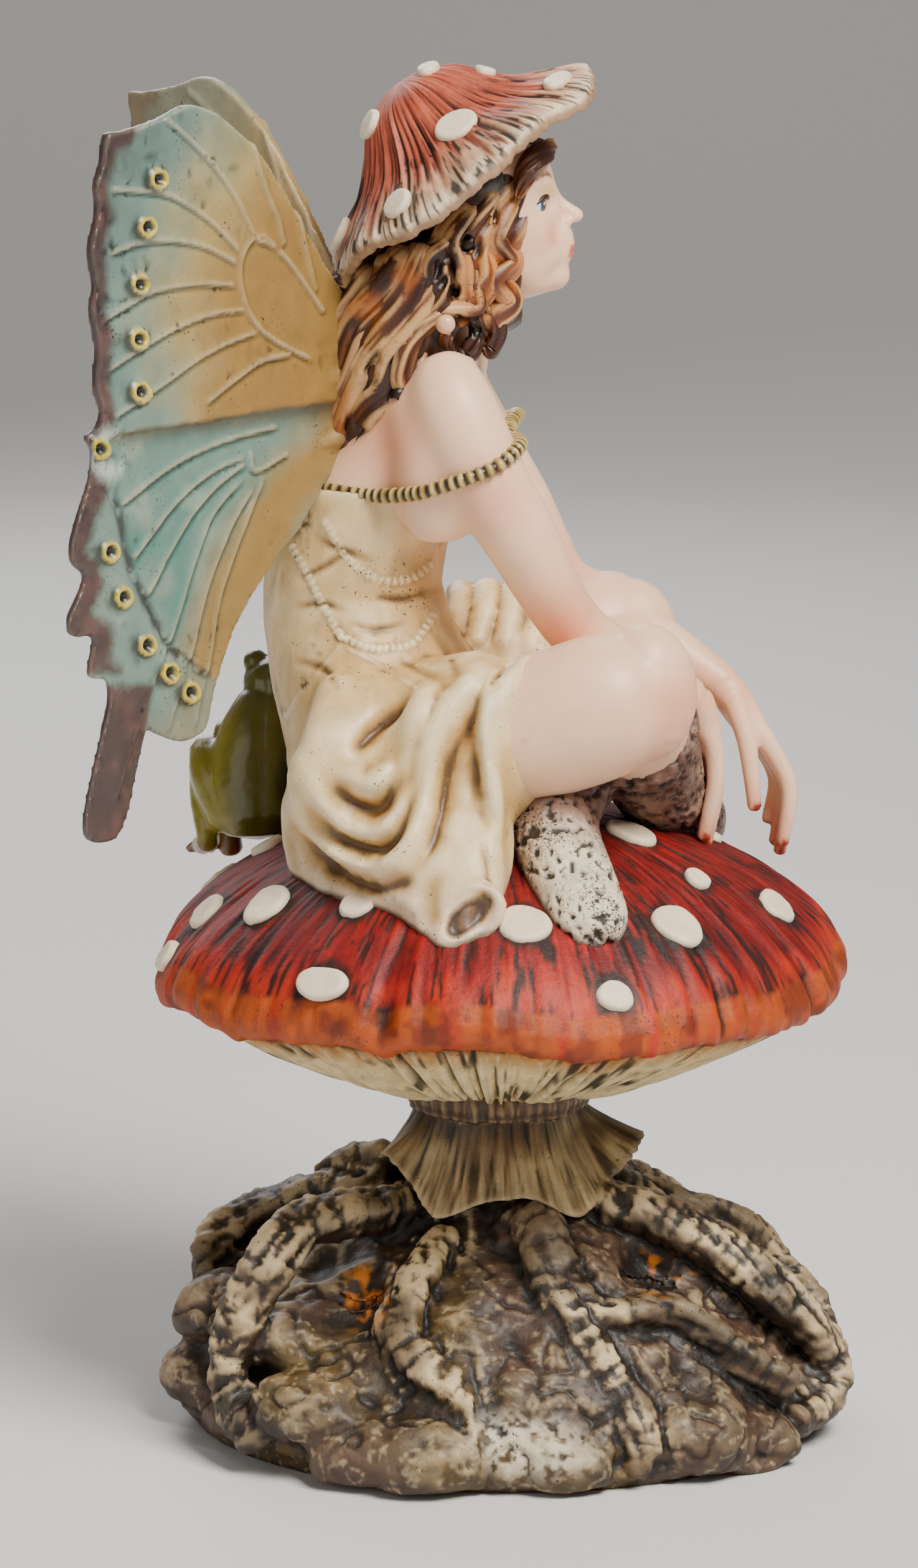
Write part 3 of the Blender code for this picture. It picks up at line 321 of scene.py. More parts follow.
class Skin:
    """A mesh while it is sculpted and painted: its points, normals and colours as arrays."""

    def __init__(self, item, colour):
        self.item = item
        mesh = item.data
        self.points = np.empty(len(mesh.vertices) * 3)
        mesh.vertices.foreach_get("co", self.points)
        self.points = self.points.reshape(-1, 3) / MM
        self.edges = np.empty(len(mesh.edges) * 2, dtype=np.int64)
        mesh.edges.foreach_get("vertices", self.edges)
        self.edges = self.edges.reshape(-1, 2)
        self.links = np.bincount(self.edges.ravel(), minlength=len(self.points)).clip(1)[:, None]
        self.colour = np.tile(np.array(colour, dtype=float), (len(self.points), 1))
        self.refresh()

    def refresh(self):
        """Puts the moved points in the mesh and reads its new normals."""
        mesh = self.item.data
        mesh.vertices.foreach_set("co", (self.points * MM).ravel())
        mesh.update()
        self.normals = np.empty(len(self.points) * 3)
        mesh.vertex_normals.foreach_get("vector", self.normals)
        self.normals = self.normals.reshape(-1, 3)
        self.pixels = seen_at(self.points)

    def push(self, amount):
        """Moves the points along their normals."""
        self.points = self.points + self.normals * np.asarray(amount)[:, None]
        self.refresh()

    def blur(self, values, rounds):
        """Values evened out between neighbours."""
        values = np.asarray(values, dtype=float)
        flat = values.ndim == 1
        if flat:
            values = values[:, None]
        a, b = self.edges[:, 0], self.edges[:, 1]
        for _ in range(rounds):
            total = np.zeros_like(values)
            for axis in range(values.shape[1]):
                total[:, axis] = (np.bincount(a, values[b, axis], len(values))
                                  + np.bincount(b, values[a, axis], len(values)))
            values = 0.5 * values + 0.5 * total / self.links
        return values[:, 0] if flat else values

    def away(self, centre, radii=1.0):
        """How far each point lies from a centre, or in shares of the radii given."""
        return np.linalg.norm((self.points - centre) / radii, axis=1)

    def noise(self, size, seed=0, octaves=1):
        """Smooth noise at each point."""
        return noise(self.points, size, seed, octaves)

    def hollow(self, rounds=12):
        """How deep each point lies in a hollow, in millimetres; ridges are negative."""
        return ((self.blur(self.points, rounds) - self.points) * self.normals).sum(axis=1)

    def paint(self, colour, amount=None):
        """Paints a colour on, everywhere or by an amount for each point."""
        if amount is None:
            amount = np.ones(len(self.points))
        self.colour = mix(self.colour, colour, amount)

    def antique(self, dark, light, depth=0.12, rounds=12, strength=0.9, shine=0.6):
        """Dark wash in the hollows and a light dry brush on the ridges."""
        level = self.hollow(rounds)
        self.paint(dark, strength * fade(level, 0.15 * depth, depth))
        self.paint(light, shine * fade(-level, 0.2 * depth, 1.2 * depth))

    def finish(self, material, slot, *nodes):
        """Stores the colours, sets the material, thins the mesh and puts the piece in place of its
        solids.
        """
        mesh = self.item.data
        layer = mesh.color_attributes.new("paint", "FLOAT_COLOR", "POINT")
        colours = np.ones((len(self.points), 4))
        grey = self.colour.mean(axis=1, keepdims=True)
        colours[:, :3] = np.clip(grey + (self.colour - grey) * RICHNESS, 0, 1) ** DEEPNESS
        layer.data.foreach_set("color", colours.ravel())
        mesh.materials.clear()
        mesh.materials.append(material)
        mesh.calc_loop_triangles()
        most = 1000 * THOUSANDS.get(self.item.name, 10)
        if len(mesh.loop_triangles) > most:
            thin = self.item.modifiers.new("thin", "DECIMATE")
            thin.ratio = most / len(mesh.loop_triangles)
            bake(self.item)
        place(self.item, slot, *nodes)


def place(item, slot, *nodes):
    """Lets a piece ride on the figurine and stand for its solids, which it hides."""
    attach(item, "root")
    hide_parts(*nodes)


def painted(name, roughness=0.5, grain=0.25, lump=0.15, speckle=0.0, speck_size=0.7,
            speck_colour=(0.02, 0.015, 0.012), coat=0.0, subsurface=0.0):
    """Hand-painted resin: painted colours with mottling, specks of dark wash and a fine grain."""
    material = bpy.data.materials.new(name)
    material.use_nodes = True
    nodes = material.node_tree.nodes
    links = material.node_tree.links
    shader = nodes["Principled BSDF"]
    shader.inputs["Roughness"].default_value = roughness
    shader.inputs["Coat Weight"].default_value = coat
    shader.inputs["Coat Roughness"].default_value = 0.25
    shader.inputs["Subsurface Weight"].default_value = subsurface
    shader.inputs["Subsurface Radius"].default_value = (0.004, 0.002, 0.001)
    shader.inputs["Subsurface Scale"].default_value = 0.6
    paint = nodes.new("ShaderNodeAttribute")
    paint.attribute_name = "paint"
    place_in = nodes.new("ShaderNodeTexCoord")

    def texture(scale, detail, rough=0.6):
        node = nodes.new("ShaderNodeTexNoise")
        node.inputs["Scale"].default_value = scale / MM
        node.inputs["Detail"].default_value = detail
        node.inputs["Roughness"].default_value = rough
        links.new(place_in.outputs["Object"], node.inputs["Vector"])
        return node

    mottle = texture(0.22, 5.0)
    shade = nodes.new("ShaderNodeMapRange")
    shade.inputs["From Min"].default_value = 0.3
    shade.inputs["From Max"].default_value = 0.7
    shade.inputs["To Min"].default_value = 1.0 - grain
    shade.inputs["To Max"].default_value = 1.0 + 0.6 * grain
    links.new(mottle.outputs["Fac"], shade.inputs["Value"])
    toned = nodes.new("ShaderNodeMix")
    toned.data_type = "RGBA"
    toned.blend_type = "MULTIPLY"
    toned.inputs["Factor"].default_value = 1.0
    links.new(paint.outputs["Color"], toned.inputs["A"])
    links.new(shade.outputs["Result"], toned.inputs["B"])
    colour = toned.outputs["Result"]
    if speckle:
        specks = texture(1.0 / speck_size, 3.0, 0.7)
        patches = texture(0.09, 3.0)
        gate = nodes.new("ShaderNodeMath")
        gate.operation = "MULTIPLY_ADD"
        links.new(patches.outputs["Fac"], gate.inputs[0])
        gate.inputs[1].default_value = 0.45
        links.new(specks.outputs["Fac"], gate.inputs[2])
        ramp = nodes.new("ShaderNodeMapRange")
        ramp.inputs["From Min"].default_value = 0.93 - 0.16 * speckle
        ramp.inputs["From Max"].default_value = 0.99 - 0.14 * speckle
        links.new(gate.outputs["Value"], ramp.inputs["Value"])
        spotted = nodes.new("ShaderNodeMix")
        spotted.data_type = "RGBA"
        links.new(ramp.outputs["Result"], spotted.inputs["Factor"])
        links.new(colour, spotted.inputs["A"])
        spotted.inputs["B"].default_value = (*speck_colour, 1.0)
        colour = spotted.outputs["Result"]
    links.new(colour, shader.inputs["Base Color"])
    fine = texture(0.9, 6.0)
    bump = nodes.new("ShaderNodeBump")
    bump.inputs["Strength"].default_value = lump
    bump.inputs["Distance"].default_value = 0.5 * MM
    links.new(fine.outputs["Fac"], bump.inputs["Height"])
    links.new(bump.outputs["Normal"], shader.inputs["Normal"])
    return material


def tone(red, green, blue):
    """A colour from its usual values of 0 to 255."""
    share = np.array((red, green, blue)) / 255.0
    return tuple(np.where(share <= 0.04045, share / 12.92, ((share + 0.055) / 1.055) ** 2.4))


# Paints
IVORY = tone(238, 226, 205)
UMBER = tone(38, 28, 22)
# Black: antique wash in the hollows, and painted shade where parts meet the cap, under the hat and
# between the locks
BLACK_WASH_AND_SHADE = tone(16, 12, 10)
EARTH = tone(72, 56, 42)
CRIMSON = tone(118, 24, 18)
BRICK = tone(172, 98, 80)
SKIN_TONE = tone(244, 212, 188)
BLUSH = tone(220, 134, 108)
TEAL = tone(98, 124, 120)
PALE_TEAL = tone(124, 146, 140)
MAUVE = tone(72, 56, 56)
GOLDEN = tone(150, 124, 82)
OLIVE = tone(92, 88, 34)


def make_camera():
    """The camera of the photograph."""
    lens = bpy.data.cameras.new("camera")
    lens.sensor_width = 36.0
    lens.lens = FOCAL * lens.sensor_width / PHOTO_HEIGHT
    lens.clip_start = 0.01
    camera = bpy.data.objects.new("camera", lens)
    bpy.context.scene.collection.objects.link(camera)
    camera.location = Vector(CAMERA) * MM
    camera.rotation_euler = Vector(LOOK_AT - CAMERA).to_track_quat("-Z", "Y").to_euler()
    bpy.context.scene.camera = camera


def make_lamp(name, place_mm, target, size, power, colour=(1.0, 1.0, 1.0)):
    """A soft square studio lamp."""
    lamp = bpy.data.lights.new(name, "AREA")
    lamp.size = size
    lamp.energy = power
    lamp.color = colour
    item = bpy.data.objects.new(name, lamp)
    bpy.context.scene.collection.objects.link(item)
    item.location = Vector(place_mm) * MM
    item.rotation_euler = (Vector(target) - Vector(place_mm)).to_track_quat("-Z", "Y").to_euler()


def make_studio():
    """Pale floor, soft lamps and a dim even surround."""
    world = bpy.data.worlds.new("studio")
    bpy.context.scene.world = world
    world.use_nodes = True
    sky = world.node_tree.nodes["Background"]
    sky.inputs["Color"].default_value = (1.0, 0.97, 0.93, 1.0)
    sky.inputs["Strength"].default_value = 0.17
    middle = (0, 0, 130)
    make_lamp("key", (430, -600, 980), middle, 0.5, 23.0, (1.0, 0.94, 0.86))
    make_lamp("fill", (-800, -700, 350), middle, 0.8, 2.2, (1.0, 0.95, 0.9))
    make_lamp("back", (-300, 900, 700), middle, 0.7, 6.0)
    # The floor runs up behind in one sweep, so that no horizon shows
    half = 3.0
    flat_to = 1.2
    radius = 0.9
    top = 2.5
    rows = [(-half, 0.0), (flat_to, 0.0)]
    rows += [(flat_to + radius * math.sin(turn), radius * (1 - math.cos(turn)))
             for turn in np.linspace(0.1, 1.57, 14)]
    rows.append((flat_to + radius, top))
    corners = [(x, y, z) for y, z in rows for x in (-half, half)]
    faces = [(2 * row, 2 * row + 1, 2 * row + 3, 2 * row + 2) for row in range(len(rows) - 1)]
    mesh = bpy.data.meshes.new("floor")
    mesh.from_pydata(corners, [], faces)
    mesh.shade_smooth()
    floor = bpy.data.objects.new("floor", mesh)
    bpy.context.scene.collection.objects.link(floor)
    paper = bpy.data.materials.new("paper")
    paper.use_nodes = True
    nodes = paper.node_tree.nodes
    grain = nodes.new("ShaderNodeTexNoise")
    grain.inputs["Scale"].default_value = 9.0
    tint = nodes.new("ShaderNodeMapRange")
    tint.inputs["To Min"].default_value = 0.72
    tint.inputs["To Max"].default_value = 0.76
    paper.node_tree.links.new(grain.outputs["Fac"], tint.inputs["Value"])
    paper.node_tree.links.new(tint.outputs["Result"], nodes["Principled BSDF"].inputs["Base Color"])
    nodes["Principled BSDF"].inputs["Roughness"].default_value = 0.9
    mesh.materials.append(paper)


# Roots as they arch from the stalk down to the ground, those in front first
ROOTS = (((-15, -10, 39), (-26, -18, 41), (-35, -22, 39), (-40, -28, 34), (-45, -30, 25),
          (-47, -30, 16), (-46, -34, 11), (-41, -40, 7)),
         ((-18, 3, 38), (-31, 8, 38), (-41, 8, 35), (-49, 4, 32), (-52, -2, 27), (-51, -6, 20)),
         ((-10, -19, 36), (-15, -30, 30), (-17, -36, 24), (-12, -42, 19), (-7, -44, 16), (-4, -46, 11)),
         ((4, -14, 41), (8, -24, 36), (9, -30, 30), (14, -36, 23), (19, -40, 16), (23, -44, 11),
          (24, -47, 4)),
         ((8, -26, 33), (17, -32, 26), (28, -30, 27), (34, -30, 24), (43, -30, 17), (50, -30, 13)),
         ((15, -9, 41), (28, -12, 38), (39, -14, 33), (48, -16, 26), (55, -16, 19), (58, -16, 12),
          (57, -20, 7), (50, -28, 5)),
         ((18, 5, 40), (34, 10, 34), (44, 12, 30), (50, 12, 23), (57, 5, 16), (60, 0, 8)),
         ((12, 14, 40), (23, 26, 36), (32, 32, 29), (38, 36, 18), (41, 38, 6)),
         ((2, 15, 40), (4, 27, 38), (2, 36, 29), (7, 44, 19), (10, 48, 6)),
         ((-9, 14, 40), (-17, 26, 37), (-19, 35, 29), (-16, 43, 19), (-21, 45, 6)),
         ((-16, 10, 40), (-31, 21, 34), (-40, 26, 26), (-42, 30, 15), (-45, 31, 5)))
# Rocks in the mound: place and size
BOULDERS = ((-11, -46, 6, 9), (-5, -42, 8, 9), (34, -38, 8, 9), (-32, -38, 12, 9), (-22, -42, 6, 9),
            (-36, -26, 20, 8), (0, -30, 20, 9), (-50, -8, 9, 9), (-46, -6, 18, 9), (41, -32, 4, 9),
            (10, -44, 6, 9), (50, -14, 8, 10), (30, -22, 18, 9), (48, 14, 10, 10), (34, 36, 10, 9),
            (20, 34, 18, 10), (-6, 42, 10, 10), (-28, 38, 10, 9), (-46, 18, 10, 10), (-30, 28, 18, 9),
            (18, -36, 10, 8), (-40, -18, 14, 9), (26, -40, 5, 7), (-16, -34, 14, 8), (-46, -11, 21, 10),
            (-41, -21, 19, 9), (-41, 4, 23, 10), (-33, 14, 24, 9), (43, -4, 20, 10), (38, 20, 20, 9),
            (12, 36, 16, 10), (-10, 34, 18, 10))

# Places in the photograph: hollows under the roots with their depth and size, moss, and a pale patch
BASE_HOLLOWS = ((585, 2090, -30, 9.0), (1060, 2045, -22, 9.0), (500, 2010, -16, 6.0))
MOSS = ((580, 2085, 50, 60), (1065, 2045, 60, 45))
WHITE_PATCH = (850, 2325)


def root_strands(run, radius, turns):
    """One root: a thick core with two thinner strands that wind round it."""
    line = curve_through(run, 8)
    shapes = [tube(run, [radius * (1.05 - 0.4 * step / (len(run) - 1)) for step in range(len(run))], 14)]
    course = np.gradient(line, axis=0)
    course /= np.linalg.norm(course, axis=1)[:, None]
    side = np.cross(course, (0.0, 0.0, 1.0))
    side /= np.linalg.norm(side, axis=1)[:, None] + 1e-9
    up = np.cross(side, course)
    share = np.linspace(0, 1, len(line))
    for start in (0.0, 2.4):
        angle = start + turns * share
        out = radius * (0.62 - 0.22 * share)
        path = line + (np.cos(angle) * out)[:, None] * side + (np.sin(angle) * out)[:, None] * up
        shapes.append(tube(path[::5], [radius * 0.58] * len(path[::5]), 10, 5))
    return shapes


def make_rootstock():
    """Mound of rock and roots, with dark hollows under the roots."""
    crown = 42.0
    outline = ((0.0, 0.95), (0.07, 0.985), (0.18, 0.97), (0.32, 0.92), (0.46, 0.84), (0.6, 0.74),
               (0.74, 0.6), (0.86, 0.44), (1.0, 0.3))
    shapes = [level_rings([((2.0 - 2.0 * high, 0.0, high * crown), share * 59.5, share * 52.0, 1.0)
                           for high, share in outline], 72)]
    for x, y, z, size in BOULDERS:
        shapes.append(ball((x, y, z), (size * 1.2, size * 1.05, size * 0.72)))
    for index, run in enumerate(ROOTS):
        shapes += root_strands(run, 4.3 if index in (0, 3, 5) else 3.6, 3.0 - 1.5 * (index % 3))
    # The knot where two front roots part
    for x, y, z, size in ((7, -22, 38, 5.5), (9, -26, 33, 5.0), (13, -30, 28, 4.4), (3, -20, 37, 4.5)):
        shapes.append(ball((x, y, z), (size, size, size)))
    shapes.append(tube(((-20, 6, 43), (-26, 11, 43), (-31, 14, 40)), (4.0, 4.2, 3.2), 12))
    shapes.append(tube(((0, 0, 30), (0, 0, 46)), (19, 15), 32))
    skin = Skin(melt("rootstock", shapes, 0.66, 2), EARTH)
    # Bark: streaks along each root; elsewhere lumps and cracks of rock
    gap = np.full(len(skin.points), 1e9)
    bark = np.zeros(len(skin.points))
    cracks = np.zeros(len(skin.points))
    for index, run in enumerate(ROOTS):
        line = curve_through(run, 5)
        near = np.all((skin.points > line.min(axis=0) - 8) & (skin.points < line.max(axis=0) + 8), axis=1)
        away, where = along(skin.points[near], line)
        axis = line[-1] - line[0]
        axis /= np.linalg.norm(axis)
        across = np.cross(axis, (0.0, 0.0, 1.0))
        across /= np.linalg.norm(across)
        up = np.cross(across, axis)
        length = np.linalg.norm(np.diff(line, axis=0), axis=1).sum()
        spot = skin.points[near]
        ringed = np.stack((where * length * 1.25, spot @ across * 0.3, spot @ up * 0.3), axis=1)
        streaked = np.stack((where * length * 0.12, spot @ across, spot @ up), axis=1)
        ring_line = noise(ringed, 1.5, 3 + index, 2)
        relief = 0.5 * ring_line + 0.85 * noise(streaked, 1.5, 40 + index, 2)
        closer = away < gap[near]
        slot = np.where(near)[0][closer]
        gap[slot] = away[closer]
        bark[slot] = relief[closer]
        cracks[slot] = ring_line[closer]
    on_root = 1 - fade(gap, 4.8, 6.8)
    ground = fade(skin.points[:, 2], 0.2, 2.5)
    even = ((1 - on_root) * ground)[:, None]
    skin.points = skin.points * (1 - even) + skin.blur(skin.points, 26) * even
    skin.refresh()
    rock = 1.7 * skin.noise(11.0, 5, 2) + 0.5 * noise(skin.points * (1.0, 1.0, 1.6), 4.6, 25, 2)
    rock -= 0.7 * fade(0.14 - np.abs(skin.noise(8.0, 9, 2)), 0.0, 0.14)
    skin.push(ground * (on_root * (0.62 * bark + 0.1) + (1 - on_root) * rock))
    # Hollows between the roots, left and right of the middle
    for u, v, depth_at, wide in BASE_HOLLOWS:
        centre = at_depth(u, v, depth_at)
        away = np.linalg.norm((skin.points - centre) * (1.0, 0.7, 1.0), axis=1)
        skin.push(-3.2 * (1 - fade(away, 0.3 * wide, wide)) * (1 - on_root))
    skin.push(0.12 * ground * skin.noise(1.4, 21, 2))
    skin.points[:, 2] = np.maximum(skin.points[:, 2], 0.0)
    skin.refresh()
    tint = skin.noise(14.0, 60, 2)
    skin.paint(tone(46, 34, 26), 0.8 * fade(skin.noise(12.0, 61, 2), -0.2, 0.6))
    skin.paint(tone(118, 98, 56), 0.5 * fade(tint, 0.15, 0.7))
    skin.paint(tone(92, 70, 60), 0.7 * fade(-tint, -0.1, 0.5) * (1 - on_root))
    # Black in the broad hollows: partly antique wash, partly painted shade under the roots and between
    # the rocks
    broad = skin.hollow(60)
    skin.paint(BLACK_WASH_AND_SHADE, 0.92 * fade(broad, 0.0, 0.9))
    fine = skin.hollow(8)
    skin.paint(BLACK_WASH_AND_SHADE, 0.9 * fade(fine, 0.05, 0.16) * (0.4 + 0.6 * on_root))
    # Cream on the ridges that face up: partly dry brush, partly painted highlight from above
    ridge = fade(-skin.hollow(24) + 0.12 * skin.noise(1.1, 73, 2), 0.03,
                 0.26) * fade(skin.normals[:, 2] + 0.5 * skin.noise(3.0, 8), -0.5, 0.5)
    patch = 0.25 + 0.75 * fade(skin.noise(11.0, 70, 2), -0.3, 0.5)
    skin.paint(tone(214, 196, 164), (0.55 + 0.35 * on_root) * ridge * patch)
    skin.paint(BLACK_WASH_AND_SHADE, 0.8 * on_root * fade(-cracks, 0.3, 0.45))
    crackle = fade(0.09 - np.abs(skin.noise(3.2, 26, 2)), 0.0, 0.05)
    skin.paint(tone(200, 184, 156), 0.5 * crackle * (1 - on_root) * (1 - fade(broad, -0.2, 0.4)))
    skin.paint(BLACK_WASH_AND_SHADE, 0.35 * (1 - on_root) * fade(skin.noise(2.0, 27, 2), 0.2, 0.5))
    # A pale brushed patch low in front, and dabs of orange moss in the hollows
    white = 1 - fade(blob(skin.pixels, WHITE_PATCH, (120, 60), 8), 0.4, 1.2)
    skin.paint(tone(224, 214, 196), 0.9 * white * fade(skin.noise(1.3, 71, 2) + 0.25, -0.1, 0.15)
               * (skin.points[:, 1] < 0))
    for u, v, wide, high in MOSS:
        moss = (1 - fade(blob(skin.pixels, (u, v), (wide, high)), 0.5, 1.1)) * (skin.points[:, 1] < 0)
        skin.paint(tone(206, 132, 40), 0.9 * moss * fade(skin.noise(2.2, 72, 2), 0.25, 0.6))
    skin.finish(painted("painted_bark", 0.55, 0.3, 0.55, 0.35, 0.8, coat=0.12), "bark_and_rock",
                "root_base")


def revolved(name, profile, sides, rule):
    """A closed turned form, moved by a rule: (angle, radius, height, share of the profile)."""
    angles = np.arange(sides) * 2 * np.pi / sides
    rings = []
    for index, (radius, height) in enumerate(profile):
        place_share = index / (len(profile) - 1)
        r, z, around = rule(angles, np.full(sides, float(radius)), np.full(sides, float(height)),
                            place_share)
        rings.append(np.stack((r * np.cos(around), r * np.sin(around), z), axis=1))
    points, faces = stack(rings[::-1], rings[-1].mean(axis=0), rings[0].mean(axis=0))
    return add_object(name, points, faces)


def around_values(table, angles):
    """Values read from a table of degrees round a circle, smoothly."""
    degrees = np.array([row[0] for row in table])
    values = np.array([row[1] for row in table], dtype=float)
    fine = np.interp(np.arange(-60, 420), np.concatenate((degrees - 360, degrees, degrees + 360)),
                     np.tile(values, 3))
    even = np.convolve(fine, np.hanning(23) / np.hanning(23).sum(), mode="same")
    return np.interp(np.degrees(angles) % 360, np.arange(-60, 420), even)


def make_stalk():
    """The collar under the gills and the ring that hangs from it like a skirt."""
    hem = ((0, 51), (30, 48), (60, 43.5), (90, 47), (120, 42), (150, 45), (180, 46), (205, 50), (222, 45),
           (240, 39.8), (262, 43.6), (286, 44.4), (306, 39.8), (330, 43.5), (345, 48))
    flare = ((0, 26.4), (30, 24.5), (60, 22.5), (90, 20.5), (120, 23), (150, 21.5), (180, 21),
             (205, 22.5),
             (222, 20), (240, 22.8), (262, 20.4), (286, 20.6), (306, 23.6), (330, 21.5), (345, 24.5))
    top = 57.6

    def skirt_rule(angle, radius, height, share):
        # radius holds the share of the way down, and height 1 outside or -1 inside
        down = radius
        reach_out = around_values(flare, angle)
        low = around_values(hem, angle)
        r = 14.4 + (reach_out - 14.4) * down ** 1.5
        z = top - (top - low) * down
        fold = 0.55 * down * noise(np.stack((20 * np.cos(angle), 20 * np.sin(angle), down * 2),
                                            axis=1), 3.4, 4)
        fine = 0.3 * noise(np.stack((20 * np.cos(angle), 20 * np.sin(angle), down * 2.0), axis=1), 0.8,
                           14, 2)
        r = r + np.where(height > 0, 0.0, -1.5) + fold + fine * (0.25 + down)
        return r, z, angle

    rows = [(share, 1.0) for share in np.linspace(0.0, 1.0, 34)]
    rows += [(share, -1.0) for share in np.linspace(0.99, 0.12, 14)]
    skin = Skin(revolved("stalk_skirt", rows, 360, skirt_rule), tone(138, 116, 86))
    skin.paint(tone(104, 78, 52), 0.7 * fade(skin.noise(7.0, 3, 2), -0.1, 0.6))
    skin.paint(tone(206, 188, 152), 0.7 * fade(skin.noise(9.0, 7, 2), 0.0, 0.6))
    turned_place = np.arctan2(skin.points[:, 1], skin.points[:, 0])
    streak = noise(np.stack((20 * np.cos(turned_place), 20 * np.sin(turned_place),
                             skin.points[:, 2] * 0.12),
                            axis=1), 0.9, 33, 2)
    skin.paint(tone(218, 202, 168), 0.6 * fade(-streak, -0.3, 0.5)
               * (1 - fade(skin.points[:, 2], 46, 54)))
    # Painted shade under the cap: the top of the skirt darker
    skin.paint(tone(50, 38, 28), 0.85 * fade(skin.points[:, 2] + 3 * streak, 49, 57))
    skin.paint(BLACK_WASH_AND_SHADE, 0.75 * fade(streak, 0.3, 0.6) * fade(skin.points[:, 2], 40, 48))
    skin.antique(BLACK_WASH_AND_SHADE, tone(214, 198, 166), 0.16, 8, 0.85, 0.55)
    # Painted shade on the inside of the skirt
    inside = fade(-(skin.normals[:, :2] * skin.points[:, :2]).sum(axis=1), 2, 8)
    skin.paint(UMBER, 0.8 * inside)
    paint = painted("painted_bark_pale", 0.5, 0.25, 0.4, 0.3, 0.8, coat=0.15)
    skin.finish(paint, "bark_and_rock", "root_base")

    def collar_rule(angle, radius, height, share):
        ring_place = np.stack((20 * np.cos(angle), 20 * np.sin(angle), height * 0.25), axis=1)
        return radius + 0.45 * noise(ring_place, 1.1, 6, 2) + 0.3 * noise(ring_place, 4.0,
                                                                          16), height, angle

    outline = curve_through(((13.2, 61.0), (15.6, 61.0), (16.4, 60.2), (16.5, 58.6), (16.0, 57.4),
                             (15.8, 56.6), (14.6, 56.0), (13.0, 54.0), (12.4, 50.0), (12.4, 44.0),
                             (14.0, 40.0)), 4)
    collar = Skin(revolved("stalk_collar", outline, 300, collar_rule), tone(84, 62, 46))
    collar.antique(BLACK_WASH_AND_SHADE, tone(176, 150, 116), 0.14, 8, 0.95, 0.6)
    collar.finish(paint, "bark_and_rock", "root_base")


# The cap's surface
RIM_TOP = 83.8
CAP_OUT = 60.4
CAP_SIDES = 720


def rim_lift(angle):
    """How far the wavy rim stands above or below its mean level."""
    return 2.0 * (0.55 * np.sin(3 * angle + 0.6) + 0.3 * np.sin(7 * angle + 1.0) + 0.25
                  * np.sin(11 * angle))


def cap_height(x, y):
    """Height of the cap's top at a place."""
    share = np.clip(np.hypot(x, y) / CAP_OUT, 0, 1)
    return (RIM_TOP + (CAP_TOP - RIM_TOP - 0.4) * (1 - share ** 2) ** 0.72
            + rim_lift(np.arctan2(y, x)) * share ** 4)


def on_cap(u, v):
    """The point of the cap's top seen at a pixel."""
    spots = np.array([at_depth(u, v, y) for y in np.linspace(-60.0, 0.0, 241)])
    above = spots[:, 2] - cap_height(spots[:, 0], spots[:, 1])
    return spots[np.argmax(above < 0)]


# Spots on the cap: place, and size across and outward
CAP_SPOTS = ((-51, -10, 4.3, 3.8), (-40, -25, 4.4, 4.6), (-24, -36, 3.3, 3.6), (-58, -10, 3.3, 3.0),
             (-30, -49, 4.8, 3.2), (4, -46, 4.4, 4.6), (19, -54, 3.2, 2.9), (30, -38, 4.6, 4.6),
             (23, -12, 4.3, 4.6), (34, -22, 2.6, 2.5), (48, -15, 4.5, 3.8), (36, 8, 4.2, 4.0),
             (46, 27, 4.4, 4.2), (23, 30, 4.0, 4.2), (18, 49, 4.8, 3.8), (-4, 42, 4.4, 4.4),
             (-20, 51, 3.8, 3.2), (-41, 8, 3.2, 3.4), (-50, 24, 4.4, 4.2), (-38, 42, 4.0, 3.4))
CAP_NOTCHES = ((250, 2.0), (221, 1.0), (181, 1.2), (309, 1.0), (333, 1.2), (18, 1.2), (62, 1.0),
               (101, 1.6), (143, 1.1), (275, 0.5), (200, 0.5))


